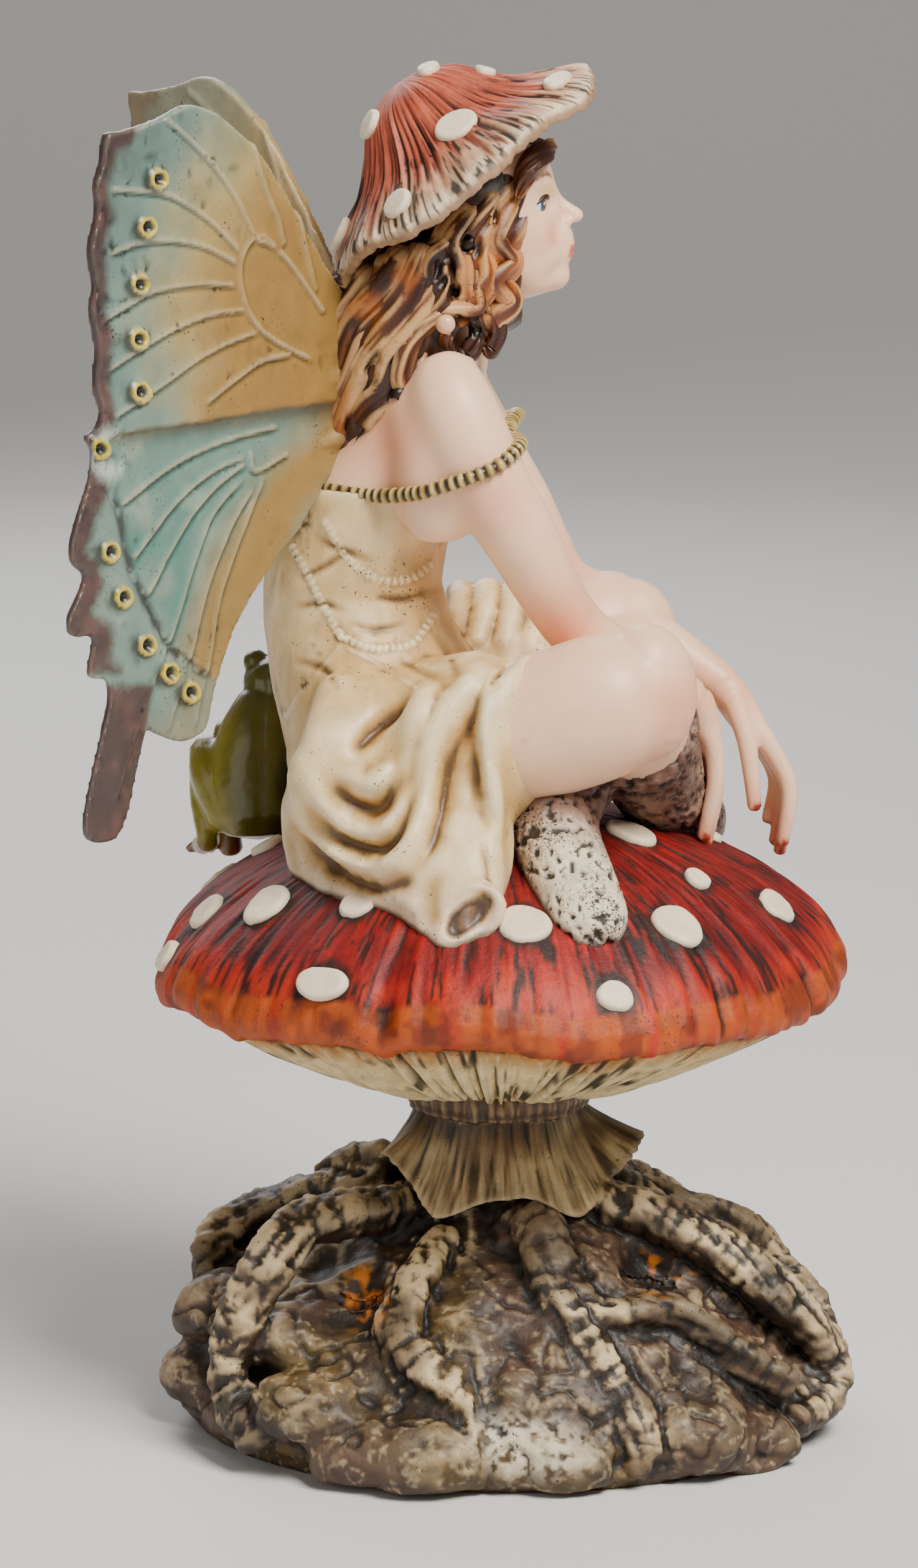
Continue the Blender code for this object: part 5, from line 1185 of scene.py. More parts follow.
def make_dress():
    """Draped dress: bodice with braids, and a skirt in broad folds with a curled hem."""
    shapes = [trunk_rings(90, 171, 0.9)]
    hem = [on_cap(u, v) + (0.0, 1.2, 0.4) for u, v in HEM]
    right, upward = np.array((1.0, 0.0, 0.0)), np.array((0.0, 0.2, 0.98))
    for side in (-1, 1):
        turned = np.array((1.0, -side, 1.0))
        shapes.append(ball((-6.4, side * 6.8, 167.6), (8.6, 8.0, 7.8)))
        # The skirt runs down and out to its hem
        for x, y, z in hem:
            path = [(0.45 * x - 11.0, -21.0, 134.0), (0.66 * x - 7.0, -28.6, 121.0),
                    (0.9 * x - 1.6, 0.85 * y, z + 8.5), (x, y, z)]
            shapes.append(tube(np.array(path) * turned, (5.0, 6.0, 5.0, 2.0), 16, 6))
        shapes.append(tube(np.array(hem) * turned, [1.5] * len(hem), 14, 5))
        # Cloth over the thigh, and its front corner hanging down
        thigh = NEAR_THIGH if side < 0 else FAR_THIGH
        middle = np.array(thigh[1]) + ((4.0, -0.8, 1.2) if side < 0 else (12.0, 0.8, 3.0))
        shapes.append(tube((np.array(thigh[0]), (np.array(thigh[0]) + middle) / 2, middle),
                           (16.4, 16.4, 15.8), 36, 6))
        panel = ((-13.0, -25.0, 130.0), (-9.5, -28.6, 118.0), (-8.2, -31.0, 107.0), (-8.0, -33.0, 97.0))
        shapes.append(tube(np.array(panel) * turned, (8.5, 9.0, 8.6, 7.0), 24, 6))
        edge = ((4.6, -24.0, 140.0), (1.2, -31.0, 135.6), (-1.8, -34.0, 127.0), (-2.4, -35.4, 115.0),
                (-2.0, -37.0, 104.0))
        shapes.append(tube(np.array(edge) * turned, (1.6, 2.4, 3.0, 3.2, 2.6), 16, 6))
        # The curl of the hem in front, open towards the viewer
        curl = at_depth(*HEM_CURL, -47.0)
        turns = np.linspace(0, 2 * math.pi, 15)
        ring = [curl + (0.76 * right + 0.65 * upward) * 6.4 * math.cos(turn)
                + (-0.65 * right + 0.76 * upward) * 4.2 * math.sin(turn) for turn in turns]
        shapes.append(tube(np.array(ring) * turned, [1.15] * 15, 14, 5))
        shapes.append(ball((curl + (0.0, 2.2, -0.4)) * turned, (6.4, 2.2, 5.0)))
        shapes.append(tube(np.array((curl + (0.0, 1.6, 0.4), curl + (-1.0, 7.0, 3.0),
                                     curl + (-2.0, 13.0, 8.0)))
                           * turned, (3.6, 5.6, 6.0), 20))
    # Cloth gathered over the far thigh
    for x, lift in ((-6.5, 1.4), (-2.0, 1.9), (2.8, 1.4), (7.4, 0.6)):
        shapes.append(tube(((x - 2.0, 6.0, 136.0 + lift), (x - 0.4, 12.0, 141.6 + lift),
                            (x, 19.0, 143.2 + lift),
                            (x, 27.0, 139.6 + lift), (x - 1.0, 32.0, 132.0 + lift)),
                           (2.0, 2.6, 2.9, 2.6, 2.0), 14, 6))
    skin = Skin(melt("dress", shapes, 0.5, 10), tone(206, 178, 132))
    skin.facing = np.abs(skin.normals[:, 1]) > 0.12
    even = 1 - fade(skin.points[:, 2], 136, 142)
    even = (even * fade(blob(skin.pixels, HEM_CRISP, (70, 60)), 0.8, 1.3))[:, None]
    skin.points = skin.points * (1 - even) + skin.blur(skin.points, 40) * even
    skin.refresh()
    # Broad folds
    fold = np.zeros(len(skin.points))
    for knots, width, high in FOLDS:
        fold += 1.45 * high * stroke(skin.pixels, knots, width * 1.2, 0.25)
    fold = skin.blur(fold * skin.facing, 11)
    skin.push(fold)
    curl_hollow = 1 - fade(blob(skin.pixels, HEM_CURL, (50, 27), -40), 0.55, 1.0)
    skin.push(-1.0 * curl_hollow * skin.facing)
    # Wrinkles of the bodice and fine folds
    fine = strokes(skin.pixels, WRINKLES, 11, 0.4)
    skin.push(-0.4 * fine * skin.facing)
    skin.push(0.22 * noise(skin.points * (1.0, 1.0, 0.5), 5.0, 12, 3))
    # Braids under the bust, round the waist and down the seams
    for knots in BRAIDS:
        trim(skin, knots, 7.5, 0.32, 11)
    for knots in SEAMS:
        seam = stroke(skin.pixels, knots, 6, 0.05) * skin.facing
        skin.push(0.22 * seam)
        skin.paint(tone(150, 118, 78), 0.6 * seam)
    low = skin.points[:, 2] - cap_height(skin.points[:, 0], skin.points[:, 1])
    skin.points[:, 2] += np.maximum(-1.0 - low, 0.0) * (low > -8) * 0.9
    skin.refresh()
    # Ochre and brown in the fold valleys and broad hollows: partly wash, partly painted shade. Cream on
    # the raised folds and broad swells: partly dry brush, partly painted highlight
    broad = skin.hollow(60)
    patch = skin.noise(12.0, 14, 2)
    skin.paint(tone(236, 218, 184), 0.85 * fade(-broad + 0.2 * patch + 0.12, 0.0, 0.5))
    skin.paint(tone(158, 116, 66), 0.8 * fade(broad + 0.1 * patch, 0.1, 0.9))
    skin.paint(tone(240, 224, 190), 0.7 * fade(fold, 0.8, 2.4))
    skin.paint(tone(164, 122, 74), 0.75 * fade(-fold, 0.2, 2.0))
    skin.paint(tone(96, 66, 42), 0.5 * fade(-fold + 0.5 * patch, 1.8, 3.8))
    fleck = fade(skin.noise(1.1, 71, 2), 0.05, 0.4) * fade(skin.noise(5.0, 72), -0.1, 0.3)
    skin.paint(BLACK_WASH_AND_SHADE, 0.75 * fade(-fold, 1.2, 2.2) * fleck)
    skin.paint(tone(120, 84, 52), 0.35 * fine * skin.facing)
    skin.paint(tone(236, 214, 194), 0.7 * fade(112 - skin.points[:, 2] - broad * 3, 2, 14)
               * (1 - fade(-fold, 0.3, 1.0)))
    # Painted shade inside the curl of the hem
    skin.paint(tone(92, 66, 46), 0.85 * curl_hollow * skin.facing)
    # Painted shade where the dress meets the cap
    skin.paint(BLACK_WASH_AND_SHADE, 0.8 * (1 - fade(skin.points[:, 2]
                                           - cap_height(skin.points[:, 0], skin.points[:, 1]),
                                           0.2, 1.4)))
    skin.antique(tone(40, 28, 18), tone(246, 232, 200), 0.16, 8, 0.7, 0.4)
    dark = fade(skin.noise(3.2, 15, 2), 0.45, 0.75) * fade(skin.noise(14.0, 16), 0.05, 0.4)
    skin.paint(BLACK_WASH_AND_SHADE, 0.8 * dark * fade(skin.noise(0.9, 17, 2), 0.0, 0.4))
    # Dark antique wash at the top of the back, where the hair meets the cloth
    smudge = 1 - fade(blob(skin.pixels, BACK_SMUDGE, (48, 42)), 0.3, 1.1)
    skin.paint(BLACK_WASH_AND_SHADE, 0.85 * smudge * fade(skin.noise(1.1, 18, 2), -0.1, 0.35))
    # Painted shade on the dress at the armpit, behind the upper arm
    armpit_shade = 1 - fade(blob(skin.pixels, ARMPIT_SHADE, (26, 30)), 0.3, 1.0)
    skin.paint(tone(72, 48, 36), 0.8 * armpit_shade * fade(skin.noise(1.4, 19, 2), -0.2, 0.3))
    skin.finish(painted("painted_cloth", 0.46, 0.16, 0.22, 0.3, 0.6, coat=0.15), "figure_paint", "fairy")


CORD_RUN = ((-34.8, 0, 167.6), (-33.2, -6.5, 167.6), (-28.2, -13.2, 168.0), (-21.6, -17.6, 167.6),
            (-17.0, -21.6, 168.2), (-13.0, -24.8, 169.2), (-9.6, -26.4, 170.4), (-5.4, -28.2, 172.0),
            (-0.8, -27.4, 173.8), (2.2, -24.4, 175.8), (3.4, -20.0, 176.8), (2.8, -15.0, 176.8),
            (1.9, -9.6, 176.2), (1.6, -4.0, 175.4), (0.9, 0, 175.0))


def make_cord():
    """Ribbed cord along the top of the dress and round the upper arms."""
    run = [*CORD_RUN, *[(x, -y, z) for x, y, z in CORD_RUN[-2:0:-1]]]
    points, faces = tube([*run, run[0]], [1.2] * (len(run) + 1), 16, 40, 1.0)
    item = add_object("cord", points, faces)
    skin = Skin(item, tone(150, 120, 66))
    line = curve_through([*run, run[0]], 12)
    _, where = along(skin.points, line)
    length = np.linalg.norm(np.diff(line, axis=0), axis=1).sum()
    wrap = np.cos(2 * np.pi * where * length / 1.75 + 0.8 * np.sin(where * 90))
    skin.push(0.2 * wrap)
    skin.paint(tone(206, 190, 140), fade(wrap + 0.6 * skin.noise(1.4, 3), 0.1, 0.9))
    skin.paint(tone(28, 20, 12), fade(-wrap, 0.0, 0.7))
    skin.finish(painted("painted_cord", 0.36, 0.2, 0.3, 0.2, 0.5, coat=0.3), "figure_paint", "fairy")


def make_head():
    """Head with a calm doll's face."""
    shapes = [ball(SKULL, (12.9, 10.5, 13.4)),
              ball(SKULL + (5.0, 0, -6.4), (8.0, 8.2, 8.4)),
              ball(SKULL + (3.6, 0, -3.0), (8.6, 9.4, 9.0)),
              ball(SKULL + (11.2, 0, -10.4), (3.2, 3.9, 2.9)),
              ball(SKULL + (6.5, 0, -11.2), (5.6, 5.8, 3.0)),
              ball(SKULL + (11.5, 0, -5.1), (3.5, 4.4, 4.8)),
              ball(SKULL + (1.8, 0, 6.4), (9.6, 9.2, 7.0)),
              tube((SKULL + (10.2, 0, 4.8), SKULL + (12.0, 0, 2.1), SKULL + (14.6, 0, 0.2)),
                   (1.4, 1.3, 1.35), 14),
              ball(SKULL + (14.9, 0, -0.1), (1.6, 1.5, 1.4)),
              tube(((-7.6, 0, 188.0), (-6.6, 0, 195.0), (-4.0, 0, 203.0)), (5.8, 4.9, 5.2), 28)]
    for side in (-1, 1):
        shapes.append(ball(SKULL + (7.2, side * 4.4, -3.4), (4.3, 4.2, 4.8)))
        shapes.append(ball(SKULL + (8.8, side * 2.8, -6.0), (4.0, 4.2, 4.4)))
        shapes.append(ball(SKULL + (13.5, side * 1.4, -1.1), (1.2, 0.9, 0.9)))
        shapes.append(tube((SKULL + (11.0, side * 1.2, 5.6), SKULL + (9.7, side * 4.6, 6.4),
                            SKULL + (6.6, side * 7.6, 5.2)), (0.7, 0.8, 0.7), 12))
    skin = Skin(melt("head", shapes, 0.32, 14), SKIN_TONE)
    # An even, rounded face round the nose
    from_nose = skin.away((SKULL + (14.0, 0, 0.4)), (1.0, 1.0, 1.3))
    even = 0.9 * fade(from_nose, 2.6, 4.6)[:, None]
    skin.points = skin.points * (1 - even) + skin.blur(skin.points, 40) * even
    skin.refresh()
    # Eye sockets, the corners of the mouth and the line between the lips
    for side in (-1, 1):
        socket = skin.away((SKULL + (9.2, side * 4.8, 2.1)), (3.4, 2.9, 2.0))
        skin.push(-1.2 * (1 - fade(socket, 0.2, 1.1)))
        corner = skin.away((SKULL + (12.6, side * 2.9, -6.1)), (1.2, 1.0, 0.9))
        skin.push(-0.2 * (1 - fade(corner, 0.1, 1.0)))
        nostril = skin.away((SKULL + (14.3, side * 0.75, -1.5)), (0.7, 0.45, 0.45))
        skin.paint(tone(150, 84, 74), 0.6 * (1 - fade(nostril, 0.4, 1.1)))
    front = skin.points - SKULL
    across = np.abs(front[:, 1])
    facing = fade(skin.normals[:, 0], 0.0, 0.3) * (front[:, 0] > 6)
    upper = np.exp(-((front[:, 2] + 5.2 + 0.06 * across ** 2 - 0.18 * np.cos(across * 2.4)) / 0.55) ** 2)
    lower = np.exp(-((front[:, 2] + 6.95 - 0.06 * across ** 2) / 0.62) ** 2)
    parting = np.exp(-((front[:, 2] + 6.05) / 0.2) ** 2)
    mouth = (1 - fade(across, 1.4, 3.0)) * facing
    skin.push(mouth * (0.22 * upper + 0.24 * lower - 0.2 * parting))
    groove = np.exp(-((front[:, 2] + 8.7) / 0.7) ** 2) * (1 - fade(across, 0.8, 2.6)) * facing
    skin.push(-0.08 * groove)
    lips = (1 - fade(across, 2.2, 2.9)) * facing * fade(np.maximum(upper, lower), 0.35, 0.6)
    skin.paint(tone(206, 104, 92), 0.85 * lips)
    skin.paint(tone(128, 52, 48), 0.8 * parting * (1 - fade(across, 2.1, 2.8)) * facing)
    for side in (-1, 1):
        cheek = skin.away((SKULL + (9.2, side * 5.6, -3.2)), (6, 3.6, 3.2))
        skin.paint(BLUSH, 0.5 * (1 - fade(cheek, 0.1, 1.2)))
        lid = skin.away((SKULL + (9.6, side * 4.7, 4.2)), (3.6, 3.3, 1.7))
        skin.paint(tone(190, 178, 116), 0.55 * (1 - fade(lid, 0.4, 1.1)))
        brow = stroke(front * (1, side, 1),
                      ((10.8, 1.9, 6.0), (10.0, 3.9, 7.2), (8.4, 6.1, 6.9), (6.6, 7.6, 5.7)),
                      0.75, 0.25)
        skin.paint(tone(96, 62, 42), 0.85 * fade(brow, 0.1, 0.5))
    # Painted shade in the hollows of the face
    skin.paint(tone(206, 150, 130), 0.4 * fade(skin.hollow(30), 0.06, 0.4))
    skin.finish(FLESH, "figure_paint", "fairy")

    eyes = []
    lids = []
    for side in (-1, 1):
        centre = SKULL + (7.6, side * 4.9, 2.0)
        eyes.append(ball(centre, (2.4, 2.8, 2.3), None, 36))
        for knots, size in ((((1.9, -2.1, -0.4), (2.45, -0.9, 1.15), (2.0, 0.9, 1.45),
                              (0.7, 2.5, 0.35)), 0.52),
                            (((1.9, -2.1, -0.5), (2.3, -0.8, -1.2), (1.8, 0.9, -1.25),
                              (0.7, 2.4, 0.05)), 0.26)):
            lids.append(tube([centre + (x, side * y, z) for x, y, z in knots],
                             (size * 0.6, size, size, size * 0.5),
                             10, 6))
    points = np.vstack([shape[0] for shape in eyes])
    faces = [*eyes[0][1], *[tuple(corner + len(eyes[0][0]) for corner in face) for face in eyes[1][1]]]
    item = add_object("eyes", points, faces)
    ball_skin = Skin(item, tone(232, 226, 218))
    for side in (-1, 1):
        centre = SKULL + (7.6, side * 4.9, 2.0)
        gaze = centre + np.array((2.1, side * 0.95, 0.0))
        away = np.linalg.norm((ball_skin.points - gaze) * (0.3, 1, 1), axis=1)
        ball_skin.paint(tone(66, 84, 104), 1 - fade(away, 1.3, 1.5))
        ball_skin.paint(tone(14, 14, 18), 1 - fade(away, 0.65, 0.85))
        glint = np.linalg.norm((ball_skin.points - gaze - (0.1, side * 0.4, 0.5)) * (0.3, 1, 1), axis=1)
        ball_skin.paint((1, 1, 1), 1 - fade(glint, 0.18, 0.32))
    ball_skin.finish(painted("painted_eyes", 0.15, 0.02, 0.02, coat=0.6), "figure_paint", "fairy")
    lashes = Skin(melt("eyelids", lids, 0.16, 2), tone(62, 38, 30))
    lashes.finish(painted("painted_lids", 0.4, 0.15, 0.1), "figure_paint", "fairy")


# Locks of hair on her right, from under the hat: pixels of the photograph, thickest half width in
# millimetres and how cream-coloured each is
LOCKS = ((((651, 415), (632, 450), (606, 486), (581, 525), (561, 598), (536, 674), (514, 745),
           (500, 800)), 4.8, 0.75),
         (((676, 408), (658, 470), (622, 530), (590, 590), (570, 655), (544, 730), (524, 786)), 4.6,
          0.35),
         (((696, 451), (664, 508), (632, 566), (625, 615), (600, 652), (579, 700), (560, 748)), 4.2,
          0.5),
         (((715, 490), (680, 518), (657, 553), (650, 600), (662, 632), (636, 658), (604, 664)), 3.8,
          0.9),
         (((747, 340), (722, 387), (740, 425), (747, 464), (753, 489), (721, 498), (689, 508),
           (668, 534)), 3.7, 1.0),
         (((785, 318), (760, 368), (754, 406), (768, 444), (760, 483), (738, 512)), 4.0, 0.45),
         (((823, 300), (797, 342), (785, 387), (812, 419), (789, 451), (811, 483), (787, 515),
           (791, 542)), 3.6, 0.55),
         (((593, 440), (568, 496), (556, 540), (542, 604), (523, 687), (507, 751), (495, 800)), 4.2,
          0.9),
         (((625, 419), (632, 464), (600, 515), (582, 559), (572, 623), (552, 700), (534, 768)), 4.0,
          0.3),
         (((715, 392), (694, 425), (704, 464), (694, 500), (672, 520)), 3.8, 0.5),
         (((838, 285), (830, 336), (823, 374), (818, 406), (806, 440)), 2.9, 0.6),
         (((752, 500), (764, 536), (752, 572), (738, 566)), 2.2, 0.0),
         (((776, 490), (794, 528), (789, 562), (778, 556)), 2.4, 0.1),
         (((720, 505), (716, 545), (728, 562)), 2.2, 0.0),
         (((566, 446), (546, 462), (562, 486)), 3.2, 0.8),
         (((800, 360), (776, 384), (796, 400), (806, 388)), 3.0, 0.6),
         (((800, 432), (778, 446), (794, 462), (808, 450)), 3.0, 0.5),
         (((770, 440), (752, 452), (764, 470), (778, 458)), 2.8, 0.2))

# The roll of hair over the forehead: pixels and depth
FOREHEAD_ROLL = ((880, 238, -2.0), (869, 247, -5.4), (852, 264, -8.6), (839, 288, -10.2),
                 (832, 314, -11.0))
# Hollows between the locks, painted black as shade: pixel, half width, half height and turn
HAIR_HOLLOWS = ((747, 388, 11, 17, 0), (728, 468, 14, 15, 0), (592, 580, 9, 26, 20),
                (638, 632, 24, 15, -30), (570, 700, 14, 22, 20), (560, 742, 10, 18, 30),
                (768, 400, 10, 20, 0), (676, 560, 8, 22, 20), (704, 436, 10, 22, 0),
                (740, 530, 40, 14, 0), (800, 350, 8, 16, 10))
HAIR_BEAD = (716, 521)
LOCK_SIDES = 44


def hair_depth(u, v):
    """How far out the hair lies on her right at a pixel."""
    out = np.interp(u, (490, 510, 530, 560, 600, 650, 700, 760, 800, 840),
                    (4.2, 5.0, 7.0, 9.6, 13.0, 15.6, 15.6, 13.0,
                                                                           10.8, 8.0))
    return -out * np.interp(v, (280, 360, 460), (0.82, 0.93, 1.0))


def make_hair():
    """Thick curly grooved locks that frame the face and fall down the back."""
    base = [ball(SKULL + (-2.6, 0, 1.0), (12.6, 12.2, 13.6)),
            ball(SKULL + (-6.5, 0, -8.0), (10.5, 13.0, 11.0)),
            ball(SKULL + (1.6, 0, -12.0), (6.4, 10.4, 9.0)),
            tube(((-12, 0, 205), (-17, 0, 194), (-22.5, 0, 182), (-28.5, 0, 170), (-33, 0, 164)),
                 (10.5, 10.2, 8.2, 5.4, 2.8), 28, 6, 1.0),
            tube(((-10, -8, 204), (-15, -10.5, 194), (-21, -9.5, 184), (-27, -6.5, 173)),
                 (6.5, 6.4, 5.4, 3.2), 20),
            tube(((-10, 8, 204), (-15, 10.5, 194), (-21, 9.5, 184), (-27, 6.5, 173)),
                 (6.5, 6.4, 5.4, 3.2), 20)]
    # The mass under the locks is painted near black, as painted shade in the gaps between them
    under = Skin(melt("hair_mass", base, 0.6, 4), tone(30, 18, 12))
    # Keep the face and the front of the neck free
    face = (under.points[:, 0] > SKULL[0] + 5.6) & (under.points[:, 2] < SKULL[2] + 8.5)
    under.points[face, 0] = SKULL[0] + 5.6
    under.refresh()
    under.push(0.5 * noise(under.points * (1, 1, 0.3), 1.6, 30, 2))
    under.paint(tone(120, 76, 50), 0.6 * fade(-under.hollow(8), 0.02, 0.2))
    hair_paint = painted("painted_hair", 0.42, 0.22, 0.3, 0.25, 0.5, coat=0.12)
    under.finish(hair_paint, "figure_paint", "fairy")

    points = []
    strands = []
    faces = []
    seeds = []
    pale = []
    count = 0
    runs = []
    for index, (pixels, wide, cream) in enumerate(LOCKS):
        knots = [at_depth(u, v, hair_depth(u, v) + 0.35 * wide) for u, v in pixels]
        runs.append((knots, wide, index, cream))
        runs.append((mirrored(knots), wide, index + 40, cream))
    # A roll of hair over the forehead, under the front of the hat
    roll = [at_depth(u, v, y) for u, v, y in FOREHEAD_ROLL]
    runs += [(roll, 2.3, 13, 0.3), (mirrored(roll), 2.3, 53, 0.3)]
    # Locks down the middle of the back, between the wings
    for side in (0, -1, 1):
        runs.append((((-15, side * 3, 212), (-24, side * 4.6, 202), (-26.0, side * 5.0, 192),
                      (-28.0, side * 4.0, 182), (-31.4, side * 3.6, 173),
                      (-35.0 + 1.6 * abs(side), side * 2.2, 166)),
                     4.2, 80 + side, 0.5))
    for knots, wide, seed, cream in runs:
        radii = [wide * 0.75, wide * 0.95, *[wide] * (len(knots) - 4), wide * 0.8, wide * 0.3]
        lock_points, lock_faces = tube(knots, radii[-len(knots):], LOCK_SIDES, 14, 0.8, 0.4 * seed, 4,
                                       0.1,
                                       2.0 + 0.5 * (seed % 3))
        points.append(lock_points)
        # Strands follow the lock: round it, and far along it
        rings = (len(lock_points) - 2) // LOCK_SIDES
        turns = np.tile(np.arange(LOCK_SIDES) * 2 * math.pi / LOCK_SIDES, rings)
        reach = np.linalg.norm(np.diff(np.array(knots), axis=0), axis=1).sum()
        far = np.repeat(np.arange(rings) * reach / rings, LOCK_SIDES)
        strand = np.stack((wide * np.cos(turns) + 9 * seed, wide * np.sin(turns), 0.1 * far), axis=1)
        strands.append(np.vstack([strand, strand[:1], strand[-1:]]))
        faces += [tuple(corner + count for corner in face) for face in lock_faces]
        seeds.append(np.full(len(lock_points), seed))
        pale.append(np.full(len(lock_points), cream))
        count += len(lock_points)
    item = add_object("hair_locks", np.vstack(points), faces)
    skin = Skin(item, tone(84, 50, 38))
    pale = np.concatenate(pale)
    strands = np.vstack(strands)
    shift = 0.4 * np.sin(np.concatenate(seeds) * 12.9898)
    # Fine grooves run with the locks, which mostly fall along this slope
    slope = np.stack((skin.points[:, 0] * 0.9 - skin.points[:, 2] * 0.42, skin.points[:, 1],
                      (skin.points[:, 2] * 0.9 + skin.points[:, 0] * 0.42) * 0.12), axis=1)
    groove = noise(strands, 0.95, 31, 2)
    skin.push(0.4 * groove)
    level = skin.hollow(8)
    broad = skin.hollow(50)
    light = 0.6 * noise(slope, 4.0, 32, 2) + 0.7 * noise(strands, 1.6, 37, 2) + shift
    skin.paint(tone(58, 32, 24), 0.9 * fade(-light, -0.15, 0.4))
    skin.paint(tone(146, 90, 54), 0.55 * fade(light + 0.4 * pale, 0.2, 0.9))
    skin.paint(tone(216, 182, 142), 0.8 * fade(0.42 * pale - 0.72 + 0.85 * light - 2.0 * level - 0.4
                                               * broad, 0.05, 0.45))
    skin.paint(tone(184, 112, 58), 0.5 * fade(skin.noise(6.0, 33) + 0.3 * light, 0.25, 0.7))
    skin.paint(BLACK_WASH_AND_SHADE, 0.9 * fade(level, 0.03, 0.16))
    # Black in the broad hollows: partly wash, partly painted shade between the locks
    skin.paint(BLACK_WASH_AND_SHADE, 0.95 * fade(broad + 0.25 * noise(slope, 1.6, 34, 2), 0.1, 0.5))
    # Painted shade: the hollows between the locks pushed in and painted black
    hole = np.zeros(len(skin.points))
    for u, v, wide, high, turn in HAIR_HOLLOWS:
        away = blob(skin.pixels + 12 * noise(slope, 2.0, 36, 2)[:, None], (u, v), (wide, high), turn)
        hole = np.maximum(hole, 1 - fade(away, 0.5, 1.15))
    skin.push(-1.2 * hole)
    skin.paint(BLACK_WASH_AND_SHADE, 0.92 * hole)
    skin.finish(hair_paint, "figure_paint", "fairy")
    bead = [ball(at_depth(*HAIR_BEAD, -19.0), (1.7, 1.5, 1.7), None, 24)]
    pearl = Skin(melt("hair_bead", bead, 0.25, 1), tone(226, 190, 160))
    pearl.finish(painted("painted_bead", 0.3, 0.1, 0.1, coat=0.3), "figure_paint", "fairy")


HAT_SEAT = np.array((-6.0, 0.0, 221.0))
HAT_TILT = math.radians(35.7)
HAT_OUT = 28.6
HAT_SIDES = 480


def hat_to_world(points):
    """Places points of the upright hat on her head."""
    x, y, z = points.T
    return np.stack((x * math.cos(HAT_TILT) - z * math.sin(HAT_TILT), y,
                     x * math.sin(HAT_TILT) + z * math.cos(HAT_TILT)), axis=1) + HAT_SEAT


HAT_DOME = ((0.02, 19.3), (2.5, 19.1), (5.2, 18.3), (7.6, 17.2), (9.6, 15.8), (11.2, 14.0),
            (12.8, 11.8), (14.8, 9.5), (17.0, 7.6), (19.4, 6.1), (22.0, 4.7), (24.6, 3.3), (26.8, 1.8),
            (28.0, 0.6))
HAT_UNDER = ((28.2, -0.5), (27.6, -1.5), (25.6, -1.0), (22.4, 0.4), (19.2, 1.6), (16.0, 2.4),
             (13.6, 3.0), (12.0, 5.4), (9.0, 8.0), (4.0, 9.4), (0.02, 9.6))


def hat_wave(angle, share):
    """How far the hat's wavy brim stands above its plane."""
    front = np.exp(-((((angle + np.pi) % (2 * np.pi)) - np.pi) / 0.5) ** 2)
    return share ** 3 * (1.0 * np.sin(5 * angle + 0.8) + 0.4 * np.sin(8 * angle + 2.0) + 1.2 * front)


